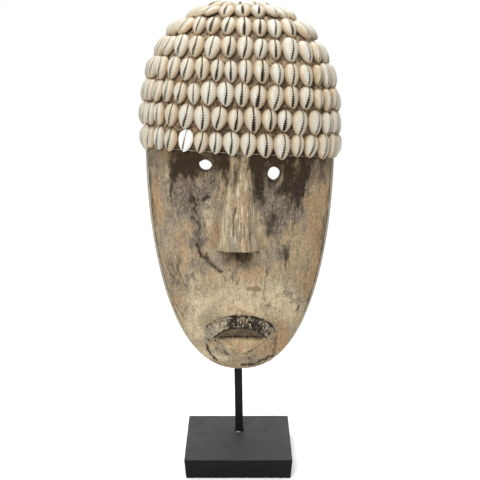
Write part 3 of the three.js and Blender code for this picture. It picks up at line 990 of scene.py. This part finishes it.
# Colours of paint, stains, dirt and painted shade on the wood
VEIL_GREY = (0.104, 0.085, 0.07)
STAIN_DEEP = (0.010, 0.007, 0.005)
STAIN_THIN = (0.034, 0.021, 0.014)
DOT_BROWN = (0.065, 0.047, 0.033)
CHALK = (0.54, 0.48, 0.37)
BLACK_PAINT = (0.016, 0.0125, 0.0095)
# Dirt and painted shade in grooves, corners and under the nose and cap
DIRT_AND_SHADE_BROWN = (0.03, 0.0185, 0.0095)
FILLER_BROWN = (0.20, 0.13, 0.075)

# Colours of the wood and glue under the shells
CAP_DARK = (0.05, 0.029, 0.015)
CAP_LIGHT = (0.31, 0.205, 0.118)
CAP_FLAKE = (0.42, 0.34, 0.25)
CAP_DUST = (0.56, 0.43, 0.285)
CAP_STAIN = (0.06, 0.042, 0.029)

# Colours of the shells
SHELL_TAN = (0.42, 0.36, 0.255)
SHELL_IVORY = (0.465, 0.435, 0.355)
# Tan rim colour, also painted shade at the shell's sides
SHELL_RIM_TAN_SHADE = (0.345, 0.232, 0.122)
# Pearly grey with a painted sheen
SHELL_PEARL_SHEEN = (0.47, 0.475, 0.445)
SHELL_WHITE = (0.74, 0.73, 0.69)
SHELL_FLECK = (0.36, 0.27, 0.16)
# Painted shade in the slit and between the teeth
SHELL_SLIT_SHADE = (0.028, 0.015, 0.008)

# Colours of thread, glue, paint specks, dust with painted light on top faces, and floor
THREAD_DARK = (0.22, 0.19, 0.15)
THREAD_LIGHT = (0.42, 0.38, 0.32)
GLUE_DARK = (0.10, 0.09, 0.08)
GLUE_LIGHT = (0.45, 0.41, 0.35)
PAINT_SPECK = 0.1
# Grey of the top faces: dust and painted light
PAINT_TOP_DUST_LIGHT = 0.05
FLOOR_DARK = 0.88
FLOOR_LIGHT = 0.92


def grey(value):
    return (value, value, value)


def mask_place(wood):
    """The place on the mask in millimetres of the mask's frame."""
    turn = MASK_TILT - math.pi / 2
    mapping = {
        0: wood.place(),
        "Scale": (1 / MM, 1 / MM, 1 / MM),
        "Rotation": (turn, 0, 0),
        "Location": -(Matrix.Rotation(turn, 3, "X") @ Vector((RIM_X, RIM_Y, RIM_Z))),
    }
    return wood.node("ShaderNodeMapping", None, mapping)


def wood_finish():
    """Old bare wood with remains of paint, and painted shade in its grooves and corners."""
    wood = Finish("weathered_wood", Specular_IOR_Level=0.1)
    place = mask_place(wood)
    dark, veil, tan, black = wood.tones("stains")
    # Second channel of wear: dirt with painted shade
    pale, painted_shade_and_dirt, cap, side_wall = wood.tones("wear")
    filler, inside, nose, lip = wood.tones("patch")

    fibre = wood.noise(place, (0.5, 0.045, 0.4), 5.0, 0.62)
    dash = wood.noise(place, (1.25, 0.3, 1.2), 3.0, 0.6)
    blotch = wood.noise(place, 0.045, 4.0, 0.62)
    mottle = wood.noise(place, (0.17, 0.1105, 0.17), 5.0, 0.72)
    speck = wood.noise(place, 0.8, 3.0, 0.65)
    grit = wood.noise(place, (0.42, 0.294, 0.42), 4.0, 0.78)
    flake = wood.noise(place, (0.5, 0.24, 0.5), 4.0, 0.75)
    check = wood.noise(place, (0.85, 0.035, 0.7), 3.0, 0.55, 0.3)
    weathering = wood.noise(place, (0.62, 0.04, 0.5), 3.0, 0.5, 0.4)
    streak = fibre.step(0.44, 0.62)

    pale_mask = (pale + (mottle - 0.5) * 1.2).step(0.1, 0.8) * pale.step(0.0, 0.1)
    tan_mask = (tan + (mottle - 0.5) * 1.4).step(0.15, 0.9) * tan.step(0.0, 0.1)
    veil_mask = (veil * 1.15 + (mottle - 0.5) * 2.8 + (dash - 0.5) * 1.4).step(0.14, 0.8)
    veil_mask = veil_mask * veil.step(0.0, 0.12)
    dark_mask = dark * 1.35 + (mottle - 0.5) * 1.5 + (fibre - 0.5) * 1.2 + (dash - 0.5) * 0.6
    dark_mask = dark_mask.step(0.1, 0.95) * dark.step(0.0, 0.12)
    black_mask = (black + (flake - 0.5) * 2.4).step(0.34, 0.52) * black.step(0.0, 0.1)
    glint = dash.step(0.52, 0.66) * (0.42 - 0.41 * dark_mask) * (1 - 0.8 * painted_shade_and_dirt).clamp()
    dots = speck.step(0.52, 0.62) * 0.3 + grit.step(0.53, 0.62) * (0.3 + 0.6 * veil)
    dots = (dots * (1 - 0.8 * lip)).clamp()
    chalk = flake.step(0.46, 0.4) * speck.step(0.42, 0.55) * lip
    # Dirt and painted shade, mottled
    shade_and_dirt = (painted_shade_and_dirt * (0.97 + 1.5 * (mottle - 0.5) + 0.9 * (fibre - 0.5))).clamp()

    stain = wood.blend(grit.step(0.42, 0.6), STAIN_DEEP, STAIN_THIN)
    raw = wood.blend(streak, RAW_WARM, RAW_COOL)
    under_shells = wood.blend((grit * 0.6 + mottle * 0.4).step(0.43, 0.58), CAP_DARK, CAP_LIGHT)
    under_shells = wood.coats(under_shells, [
        (flake.step(0.55, 0.66) * 0.5, CAP_FLAKE),
        ((pale * grit.step(0.36, 0.58)).clamp() * 0.85, CAP_DUST),
        ((blotch + 0.3 * (mottle - 0.5)).step(0.5, 0.6) * 0.75, CAP_STAIN),
    ])
    colour = wood.blend(blotch.step(0.38, 0.62), BARE_WARM, BARE_COOL)
    colour = wood.coats(colour, [
        (pale_mask, PALE_WOOD),
        (mottle.step(0.5, 0.64) * 0.5, MOTTLED_WOOD),
        (tan_mask * 0.75, TAN_WOOD),
        ((side_wall * (0.35 + 0.9 * mottle)).clamp(), SIDE_WOOD),
        (veil_mask * 0.85, VEIL_GREY),
        (streak * 0.28, FIBRE_BROWN),
        (dark_mask * 0.97, stain),
        (check.step(0.57, 0.67) * 0.34, CHECK_DARK),
        (check.step(0.43, 0.34) * 0.26 * (1 - dark_mask), CHECK_LIGHT),
        (glint, GLINT),
        (nose * weathering.step(0.5, 0.6) * 0.4, NOSE_DARK),
        (nose * weathering.step(0.46, 0.36) * 0.6, NOSE_LIGHT),
        (dots, DOT_BROWN),
        (chalk * 0.8, CHALK),
        (black_mask * 0.96, BLACK_PAINT),
        (cap * 0.95, under_shells),
        (shade_and_dirt, DIRT_AND_SHADE_BROWN),
        (filler * 0.85, FILLER_BROWN),
        (inside * 0.92, raw),
    ])
    roughness = 0.85 - 0.2 * black_mask - 0.12 * dark_mask + 0.3 * (mottle - 0.5)
    grain = fibre * 0.6 + dash * 0.45 + speck * 0.4 + mottle * 0.6
    return wood.finish(colour, roughness, wood.bump(grain + 0.25 * black_mask, 0.0018, 0.9))


def shell_finish():
    shell = Finish("cowrie_shell", Coat_Roughness=0.25, Specular_IOR_Level=0.3)
    slit_shade, rim_tan_and_shade, tint, pearl_and_sheen = shell.tones("shell")
    place = shell.place()
    cloud = shell.noise(place, 170.0, 3.0, 0.6)
    fleck = shell.noise(place, 700.0, 3.0, 0.6)
    # Tan rim with painted shade at the shell's sides
    tan_rim_and_shade = rim_tan_and_shade * (0.5 + 1.9 * (cloud - 0.35)) * (1.3 - 0.7 * tint)
    colour = shell.coats(shell.blend(tint, SHELL_TAN, SHELL_IVORY), [
        (tan_rim_and_shade.clamp() * 0.9, SHELL_RIM_TAN_SHADE),
        # Pearly tone and painted sheen
        ((pearl_and_sheen * (0.75 + 1.4 * (cloud - 0.4))).clamp(), SHELL_PEARL_SHEEN),
        (pearl_and_sheen.step(0.98, 1.0), SHELL_WHITE),
        (fleck.step(0.55, 0.7) * 0.25, SHELL_FLECK),
        # Painted shade in the slit
        (slit_shade, SHELL_SLIT_SHADE),
    ])
    shell.feed(shell.shader.inputs["Coat Weight"], 0.13 * (1 - slit_shade))
    roughness = 0.4 + 0.6 * slit_shade + 0.3 * (cloud - 0.5)
    return shell.finish(colour, roughness, shell.bump(fleck * 0.5 + cloud, 0.0004, 0.4))


def thread_finish():
    thread = Finish("nylon_thread", Specular_IOR_Level=0.6)
    wave = thread.noise(thread.place(), 900.0, 2.0)
    return thread.finish(thread.blend(wave, THREAD_DARK, THREAD_LIGHT), 0.3 + 0.1 * wave)


def glue_finish():
    glue = Finish("dried_glue", Specular_IOR_Level=0.6)
    cloud = glue.noise(glue.place(), 900.0)
    return glue.finish(glue.blend(cloud.step(0.35, 0.6), GLUE_DARK, GLUE_LIGHT), 0.35 + 0.2 * cloud)


def floor_finish():
    floor = Finish("pale_floor")
    cloud = floor.noise(floor.place(), 3.0, 2.0)
    return floor.finish(floor.blend(cloud, grey(FLOOR_DARK), grey(FLOOR_LIGHT)), 0.7 + 0.05 * cloud)


def paint_finish(name, base, gloss, top_face_from):
    """Black paint: fine orange peel, faint brush marks, specks, and a lighter top face above a height,
    dust with painted light from above.
    """
    paint = Finish(name, Specular_IOR_Level=0.1)
    place = paint.place()
    peel = paint.noise(place, 1500.0, 3.0, 0.6)
    brush = paint.noise(place, (60.0, 900.0, 900.0), 3.0, 0.6)
    cloud = paint.noise(place, 45.0, 4.0, 0.6)
    speck = paint.noise(place, 2600.0, 2.0, 0.7).step(0.66, 0.78)
    height = paint.node("ShaderNodeSeparateXYZ", None, {0: place}, output=2)
    # Lighter top face: dust and painted light from above
    dust_and_top_light = height.step(top_face_from - 0.8 * MM, top_face_from)
    colour = paint.coats(paint.blend(cloud, grey(base), grey(base * 1.5)), [
        (speck * 0.1, grey(PAINT_SPECK)),
        (dust_and_top_light * (0.6 + 0.8 * cloud), grey(PAINT_TOP_DUST_LIGHT)),
    ])
    roughness = gloss + 0.12 * (cloud - 0.5) + 0.1 * (peel - 0.5)
    return paint.finish(colour, roughness, paint.bump(peel * 0.6 + brush * 0.4, 0.00012, 0.6))


def outline_point(egg, angle):
    c, s = np.cos(angle), np.sin(angle)
    reach = np.where(s > 0, egg["up"], egg["down"])
    power = np.where(s > 0, egg["crown"], egg["chin"])
    return egg["half"] * signed_power(c, 2 / egg["side"]), WIDEST_V + reach * signed_power(s, 2 / power)


def head_point(angle, reach):
    """A point of the head: reach 0 to 1 crosses the face, 1 to 2 runs down the side wall."""
    edge_u, edge_v = outline_point(FACE, angle)
    rim_u, rim_v = outline_point(RIM, angle)
    across = np.minimum(reach, 1)
    u = edge_u * across
    v = WIDEST_V + (edge_v - WIDEST_V) * across
    w = np.where(reach >= 1, WALL_DEPTH, face_height(u, v))
    down = np.clip(reach - 1, 0, 1)
    return np.stack([lerp(u, rim_u, down), lerp(v, rim_v, down), w * (1 - down)], -1)


def head_normal(angle, reach):
    step = 0.01
    along = head_point(angle + step, reach) - head_point(angle - step, reach)
    further = head_point(angle, np.minimum(2, reach + step))
    out = further - head_point(angle, np.maximum(2 * step, reach - step))
    return unit(np.cross(out, along))


def row_middles():
    """The middle line of the cap, walked up from the first row in steps of one row."""
    reach = np.arange(0.02, 2, 0.0005)
    angle = np.full_like(reach, math.pi / 2)
    points = head_point(angle, reach)
    raised = points + head_normal(angle, reach) * SHELL_HEIGHT / 2
    keep = points[:, 1] >= FIRST_ROW_V
    points = points[keep]
    places = np.searchsorted(walk(raised[keep]), ROW_PITCH * np.arange(ROW_COUNT))
    return points[np.minimum(places, len(points) - 1)]


def row_line(middle, row):
    """Points and normals of one row, from the left rim to the right rim."""
    crown = float(smoothstep(row, ROW_COUNT - 5, ROW_COUNT - 1))
    roll = ROW_ROLL * (1 - crown)
    last = row == ROW_COUNT - 1
    up = np.array([math.sin(roll), math.cos(roll), 0])
    k = np.arange(-ROW_STEPS, ROW_STEPS + 1) / ROW_STEPS
    angle = math.pi / 2 - np.sign(k) * (1 - (1 - np.abs(k)) ** 3) * ROW_SWEEP

    def above(reach):
        away = head_point(angle, reach) - middle
        if last:
            return away[:, 2] < -LAST_ROW_BEND * (away[:, 0] / LAST_ROW_HALF) ** 2
        return away @ up > 0

    rim = np.full_like(angle, 2.0)
    reach = halved(above, rim, ROW_ROUNDS)
    points = head_point(angle, reach)
    on_head = np.abs(points[:, 0]) < LAST_ROW_HALF if last else points[:, 2] > ROW_END_W
    keep = above(rim) & on_head
    return points[keep], head_normal(angle, reach)[keep]


def slit_shape(y, ring, right, slit_width, bend):
    """Middle, half width, openness and teeth of the slit at each point of a shell."""
    end = np.minimum(ring, SHELL_RINGS - ring)
    middle = (0.3 + 0.2 * y + bend * np.cos(math.pi * (y - 0.3) / 1.4)) * np.clip(end / 4, 0, 1)
    openness = np.clip(end / 3, 0, 1) * (1 - smoothstep(-y, 0.8, 0.97))
    opening = slit_width / 2 * (0.24 + 0.76 * smoothstep(-y, -0.5, 0.45)) * openness
    toothed = openness * smoothstep(-y, -0.7, -0.2)
    tooth = (ring % 2 == 0) * toothed
    bite = np.minimum(np.where(right, 1.25, 0.6), opening * 0.85) * tooth
    return middle, np.maximum(0.03, opening - bite), openness, toothed, tooth


def by_step(step, values, beyond):
    """One value for each of the first spokes beside the slit, another for those beyond."""
    return np.choose(np.minimum(step, len(values)).astype(int), [*values, beyond])


def cowrie(name, slit_width, bend):
    """One cowrie seen from its slit side: x across, y along, z outwards, in millimetres."""
    piece = add_primitive(
        name, bpy.ops.mesh.primitive_uv_sphere_add,
        segments=SHELL_SPOKES, ring_count=SHELL_RINGS, radius=1, rotation=(math.pi / 2, 0, 0),
    )
    bpy.ops.object.transform_apply(rotation=True)
    ball_x, ball_y, ball_z = read_points(piece).T
    y = np.clip(ball_y, -1, 1)
    ring = np.rint(np.arccos(y) / math.pi * SHELL_RINGS)
    spoke = np.rint(np.arctan2(ball_x, ball_z) / (2 * math.pi / SHELL_SPOKES))
    side = np.sign(spoke)
    step = np.abs(spoke)
    right = side > 0
    behind = step > FRONT_STEPS

    girth = (1 - np.abs(y) ** np.where(y > 0, 2.5, 9.0)) ** 0.5
    half_width = SHELL_WIDTH / 2 * girth * (1 - SHELL_TAPER * np.maximum(0, 0.15 - y) ** 1.5)
    slit_x, lip, openness, toothed, tooth = slit_shape(y, ring, right, slit_width, bend)
    outward = np.clip((step - LIP_STEP) / (FRONT_STEPS - LIP_STEP), 0, 1)
    shoulder = lip + 0.45
    room = np.maximum(0, half_width - np.where(right, slit_x, -slit_x) - shoulder)
    spread = shoulder + room * np.sin(outward * math.pi / 2)
    across = by_step(step, [0.0, 0.6 * lip, lip], spread)
    x = np.clip(slit_x + side * across, -half_width, half_width)

    front_height = (SHELL_HEIGHT - SHELL_BELLY + 0.7) * (1 - np.abs(y) ** 2.8) ** 0.55
    from_middle = np.abs(x) / np.maximum(0.01, half_width)
    z = front_height * np.maximum(0, 1 - from_middle ** 2.3) ** 0.6 * np.where(x < 0, 1.04, 1.0)
    z = z - np.minimum(by_step(step, [3.4, 3.0, 0.6], 0.0), front_height * 0.8) * openness
    groove = (toothed - tooth) * np.exp(-np.maximum(0, across - lip) / np.where(right, 1.7, 1.2))
    groove = groove * (step >= 2) * (step < FRONT_STEPS) * np.where(right, 1.0, 0.6)
    z = z - 0.42 * groove

    around = np.clip((step - FRONT_STEPS) / 3, 0, 1) * math.pi / 2
    x = np.where(behind, side * half_width * np.cos(around), x)
    z = np.where(behind, -SHELL_BACK * girth * np.sin(around), z)
    tip = smoothstep(-y, 0.72, 0.97) * (step >= 2) * (step <= 8)
    y_out = SHELL_LENGTH / 2 * y - tip * np.where(right, 0.45, -0.2)
    x = x - tip * np.where(right, 0.45, 0.1)
    write_points(piece, np.stack([x, y_out, z + 0.35 * tip], 1))

    # Painted shade: dark in the slit's hollow and on its lips up to the teeth, fainter in the grooves
    # between the teeth
    edge = 1 - np.where(right, 1.0, 0.6) * tooth
    slit_shade = by_step(step, [1.0, 1.0, edge], 0.0) * (openness > 0.3)
    slit_shade = slit_shade * (0.85 + 0.15 * smoothstep(-y, -0.6, 0.0))
    slit_shade = np.maximum(slit_shade, 0.45 * groove * (step >= 3))
    # Tan rim, darker towards the sides and ends: tan colour and painted shade
    sides = smoothstep(np.abs(x) / np.maximum(0.01, half_width), 0.5, 0.95)
    rim_tan_and_shade = np.maximum.reduce([sides, 0.8 * smoothstep(np.abs(y), 0.7, 1.0), behind])
    # Pearly tone with a painted sheen, strong on the left lobe and weak on the right
    pearl_and_sheen = bell(x + 2.7, 2.1) * bell(y_out + 0.5, 6.0)
    pearl_and_sheen = np.maximum(pearl_and_sheen, 0.5 * bell(x - 3.6, 1.3) * bell(y_out - 1.5, 5.0))
    write_tones(piece, "shell", [np.clip(slit_shade, 0, 1), rim_tan_and_shade, np.full_like(x, 0.5), pearl_and_sheen])
    edit(piece, bpy.ops.mesh.remove_doubles, threshold=MERGE_DISTANCE)
    bpy.ops.object.shade_smooth()
    return piece


def copy_shell(model, basis, centre, scale, tint, pearl_and_sheen, white):
    """A copy of a shell at its place, with its own tint and painted sheen; white is 1 for a bleached one.
    """
    shell = model.copy()
    shell.data = model.data.copy()
    bpy.context.collection.objects.link(shell)
    write_points(shell, to_object(centre + read_points(shell) * scale @ basis))
    tones = shell.data.attributes["shell"].data
    values = np.empty(len(tones) * 4, np.float32)
    tones.foreach_get("color", values)
    values = values.reshape(-1, 4)
    values[:, 2] = tint
    values[:, 3] = np.maximum(values[:, 3] * pearl_and_sheen, white)
    tones.foreach_set("color", values.ravel())
    return shell


def row_places_along(length, middle, start, squeeze, draw):
    """Places, sizes and widths of the shells of one row, set side by side outwards from one shell."""
    first = draw.uniform(*FIRST_SIZES)
    shells = [(middle + start, first, first)]
    for way in (1, -1):
        place, size, width = shells[0]
        while True:
            size = draw.uniform(*SHELL_SIZES)
            last_width = width
            width = size * squeeze(place + way * SHELL_PITCH / 2)
            place += way * SHELL_PITCH * (last_width + width) / 2
            if place < ROW_MARGIN or place > length - ROW_MARGIN:
                break
            shells.append((place, size, width))
    return sorted(shells)


def turned(first, second, degrees):
    """Turns two directions in their own plane."""
    c, s = math.cos(math.radians(degrees)), math.sin(math.radians(degrees))
    return first * c + second * s, second * c - first * s


def at_place(walked, values, place):
    """Points or directions at a distance walked along their line."""
    return np.array([np.interp(place, walked, column) for column in values.T])


def shell_basis(walked, raised, normals, place, draw):
    """Directions across, along and out of a shell on its line, each turned a little at random."""
    normal = unit(at_place(walked, normals, place))
    across = at_place(walked, raised, place + 5) - at_place(walked, raised, place - 5)
    across = unit(across - normal * (across @ normal))
    along = np.cross(normal, across)
    across, along = turned(across, along, draw.uniform(-TURN_FLAT, TURN_FLAT))
    across, normal = turned(across, normal, draw.uniform(-TURN_ROLLED, TURN_ROLLED))
    along, normal = turned(along, normal, draw.uniform(-TURN_TIPPED, TURN_TIPPED))
    return np.stack([across, along, normal])


def shell_row(row, middle, models, finish, draw):
    """One row of shells, joined into one piece."""
    points, normals = row_line(middle, row)
    raised = points + normals * SHELL_BELLY
    walked = walk(raised)
    centre_line = float(np.interp(0, raised[:, 0], walked))

    def squeeze(place):
        turned_away = abs(at_place(walked, normals, place)[0])
        return 1 - SIDE_SQUEEZE * float(smoothstep(turned_away, 0.35, 0.85))

    shells = []
    for place, size, width in row_places_along(walked[-1], centre_line, ROW_STARTS[row], squeeze, draw):
        spot = at_place(walked, raised, place)
        basis = shell_basis(walked, raised, normals, place, draw)
        length = SHELL_LENGTH_SPREAD * (size - 1) + draw.uniform(*SHELL_LENGTHS)
        white = row == 0 and abs(spot[0] + WHITE_SHELL_U) < 6
        small = WHITE_SHELL_SIZE if white else 1.0
        scale = (width * SHELL_OVERLAP * small, length * small, draw.uniform(*SHELL_HEIGHTS))
        centre = spot + basis[1] * draw.uniform(-SHELL_SHIFT, SHELL_SHIFT)
        tint = draw.uniform(0, 1)
        pearl_and_sheen = draw.uniform(0.1, 1.0)
        at_side = spot[0] < NARROW_LEFT or spot[0] > NARROW_RIGHT
        model = draw.choice(models[:2] if at_side else models[1:])
        shells.append(copy_shell(model, basis, centre, scale, tint, pearl_and_sheen, float(white)))
    join(*shells)
    piece = shells[0]
    piece.name = f"cowrie_row_{row + 1}"
    piece.data.name = piece.name
    coat(piece, finish)
    return piece


def thread_under(middle, finish):
    """The nylon line that shows under the tips of the lowest row."""
    points, normals = row_line(middle, 0)
    raised = points + normals * 0.9
    walked = walk(raised)
    aims = np.linspace(0, walked[-1], 2 * round(walked[-1] / SHELL_PITCH) + 1)
    u, v = (np.interp(aims, walked, column) for column in raised.T[:2])
    v = v - THREAD_DROP
    places = np.stack([u, v, face_height(u, v) + THREAD_RAISE + 0.4 * np.sin(u * 0.7)], 1)
    places = to_object(places[egg_level(FACE, u, v) < 0.9])
    curve = bpy.data.curves.new("thread", "CURVE")
    curve.dimensions = "3D"
    curve.bevel_depth = THREAD_RADIUS * MM
    curve.bevel_resolution = 2
    curve.use_fill_caps = True
    spline = curve.splines.new("POLY")
    spline.points.add(len(places) - 1)
    for point, place in zip(spline.points, places):
        point.co = (*place, 1)
    piece = bpy.data.objects.new("thread", curve)
    bpy.context.collection.objects.link(piece)
    activate(piece)
    bpy.ops.object.convert(target="MESH")
    coat(piece, finish)
    return piece


def rod_piece(finish):
    """Square bar with eased corners, a little uneven along its length."""
    low = BLOCK_HEIGHT - ROD_SINK
    piece = add_primitive("stand_rod", bpy.ops.mesh.primitive_cube_add, size=1)
    write_points(piece, read_points(piece) * (ROD_SIDE, ROD_SIDE, ROD_TOP - low))
    switch_to("EDIT")
    bpy.ops.mesh.select_all(action="DESELECT")
    switch_to("OBJECT")
    for edge in piece.data.edges:
        a, b = (piece.data.vertices[i].co for i in edge.vertices)
        edge.select = abs(a.z - b.z) > 1
    switch_to("EDIT")
    bpy.ops.mesh.subdivide(number_cuts=ROD_CUTS)
    switch_to("OBJECT")
    apply_modifier(piece, "BEVEL", width=ROD_EASE, segments=4, limit_method="ANGLE")
    x, y, z = read_points(piece).T
    z = z + (low + ROD_TOP) / 2
    swell = 1 + ROD_UNEVEN * lattice_noise(z / 21, np.full_like(z, 0.5), 81)
    x, y = (np.clip(side * swell, -ROD_SIDE / 2, ROD_SIDE / 2) for side in (x, y))
    write_points(piece, rod_points(np.stack([x, y, z], 1)) * MM)
    coat(piece, finish, EDGE_ANGLE)
    return piece


def block_piece(finish):
    """Painted wooden block, drafted towards its foot, with soft worn edges."""
    piece = add_primitive("stand_block", bpy.ops.mesh.primitive_cube_add, size=1)
    edit(piece, bpy.ops.mesh.subdivide, number_cuts=BLOCK_CUTS)
    x, y, height = (read_points(piece) + (0, 0, 0.5)).T
    draft = (BLOCK_WIDTH - BLOCK_FOOT_WIDTH) * (1 - height)
    sides = [x * (BLOCK_WIDTH - draft), y * (BLOCK_DEPTH - draft), height * BLOCK_HEIGHT]
    write_points(piece, np.stack(sides, 1))
    apply_modifier(piece, "BEVEL", width=BLOCK_EASE, segments=4, limit_method="ANGLE")
    x, y, z = read_points(piece).T
    dent = BLOCK_DENT * (rough_noise(x / 14, y / 14, 91, 3) - 1)
    z = z + dent * smoothstep(z, BLOCK_HEIGHT - 2, BLOCK_HEIGHT - 0.2)
    wear = BLOCK_WEAR * smoothstep(z, 0.5, 3)
    x = x - np.sign(x) * wear * (0.5 + 0.5 * rough_noise(y / 9, z / 9, 92, 3)) * (np.abs(x) > 45)
    y = y - np.sign(y) * wear * (0.5 + 0.5 * rough_noise(x / 9, z / 9, 93, 3)) * (np.abs(y) > 40)
    write_points(piece, np.stack([x, y, z], 1))
    cut(piece, socket_cutter(BLOCK_HEIGHT - ROD_SINK - FIT_GAP, BLOCK_HEIGHT + 20))
    edit(piece, bpy.ops.mesh.remove_doubles, threshold=MERGE_DISTANCE)
    write_points(piece, read_points(piece) * MM)
    coat(piece, finish, EDGE_ANGLE)
    return piece


def glue_piece(finish):
    """A small dried bead of glue where the rod enters the block."""
    piece = add_primitive(
        "glue_bead", bpy.ops.mesh.primitive_uv_sphere_add, segments=28, ring_count=16, radius=1,
    )
    points = read_points(piece)
    lump = 1 + 0.25 * lattice_noise(points[:, 0] * 2 + 5, points[:, 1] * 2 + 5, 95)
    shift_x, shift_y = GLUE_OFFSET
    middle = (ROD_FOOT_X + shift_x, ROD_FOOT_Y - ROD_SIDE / 2 + shift_y, BLOCK_HEIGHT)
    write_points(piece, (points * lump[:, None] * GLUE_HALF + middle) * MM)
    coat(piece, finish)
    activate(piece)
    bpy.ops.object.shade_smooth()
    return piece


def mask_piece(finish):
    """The carved mask, with its socket for the rod and its eye holes cut through."""
    piece = head_mesh()
    socket = socket_cutter(RIM_Z / 2, ROD_TOP + FIT_GAP)
    write_points(socket, to_mask(read_points(socket)))
    cut(piece, socket)
    for eye in EYES:
        cut(piece, eye_cutter(eye))
    mask_tones(piece)
    write_points(piece, to_object(read_points(piece)))
    coat(piece, finish, CARVED_ANGLE)
    return piece


def add_object(name, data, place, turn):
    piece = bpy.data.objects.new(name, data)
    piece.location = place
    piece.rotation_euler = turn
    bpy.context.collection.objects.link(piece)
    return piece


def add_camera():
    camera = bpy.data.cameras.new("photo_camera")
    camera.lens = CAMERA_LENS
    camera.sensor_width = CAMERA_SENSOR
    camera.shift_y = CAMERA_SHIFT
    camera.dof.use_dof = False
    turn = (math.pi / 2 - CAMERA_PITCH, 0, 0)
    bpy.context.scene.camera = add_object("photo_camera", camera, CAMERA_PLACE, turn)


def add_lamp(name, place, size, watts):
    """A round softbox that faces the middle of the object."""
    lamp = bpy.data.lights.new(name, "AREA")
    lamp.shape = "DISK"
    lamp.size = size
    lamp.energy = watts
    x, y, z = np.array(LAMP_AIM) - np.array(place)
    add_object(name, lamp, place, (math.atan2(math.hypot(x, y), -z), 0, math.atan2(y, x) - math.pi / 2))


def add_world():
    """A white studio: a bright backdrop behind the object, less light from the front."""
    world = bpy.data.worlds.new("studio")
    bpy.context.scene.world = world
    studio = Nodes(world)
    place = studio.node("ShaderNodeTexCoord", output="Generated")
    depth = studio.node("ShaderNodeSeparateXYZ", None, {0: place}, output="Y")
    reach = {"Value": depth, "From Min": BACKDROP_FROM, "From Max": BACKDROP_TO}
    reach.update({"To Min": FRONT_AMBIENT, "To Max": BACK_AMBIENT})
    behind = studio.node("ShaderNodeMapRange", {"interpolation_type": "SMOOTHSTEP"}, reach)
    seen = studio.node("ShaderNodeLightPath", output="Is Camera Ray")
    backdrop = studio.tree.nodes["Background"]
    studio.feed(backdrop.inputs["Color"], grey(1))
    studio.feed(backdrop.inputs["Strength"], seen.most(behind))


def add_stage():
    floor = add_primitive(
        "studio_floor", bpy.ops.mesh.primitive_circle_add,
        vertices=96, radius=FLOOR_RADIUS, fill_type="NGON",
    )
    coat(floor, floor_finish())
    add_world()
    for name, lamp in LAMPS.items():
        add_lamp(name, **lamp)
    bpy.context.scene.view_settings.view_transform = "Standard"


add_camera()
add_stage()

wood = wood_finish()
shell = shell_finish()
mask = mask_piece(wood)
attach(mask, "root")
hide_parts("wooden_mask")

models = [cowrie(**model) for model in MODELS]
draw = random.Random(20)
middles = row_middles()
for row in range(ROW_COUNT):
    piece = shell_row(row, middles[row], models, shell, draw)
    if row == 0:
        join(piece, thread_under(middles[0], thread_finish()))
    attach(piece, "root")
    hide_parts(f"shell_row_{row + 1}")
for model in models:
    bpy.data.objects.remove(model)

rod = rod_piece(paint_finish("rod_paint", 0.0065, 0.5, ROD_TOP * MM))
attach(rod, "root")
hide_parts("support_rod")

block = block_piece(paint_finish("block_paint", 0.0045, 0.5, BLOCK_HEIGHT * MM))
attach(block, "root")
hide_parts("base_block")

glue = glue_piece(glue_finish())
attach(glue, "root")
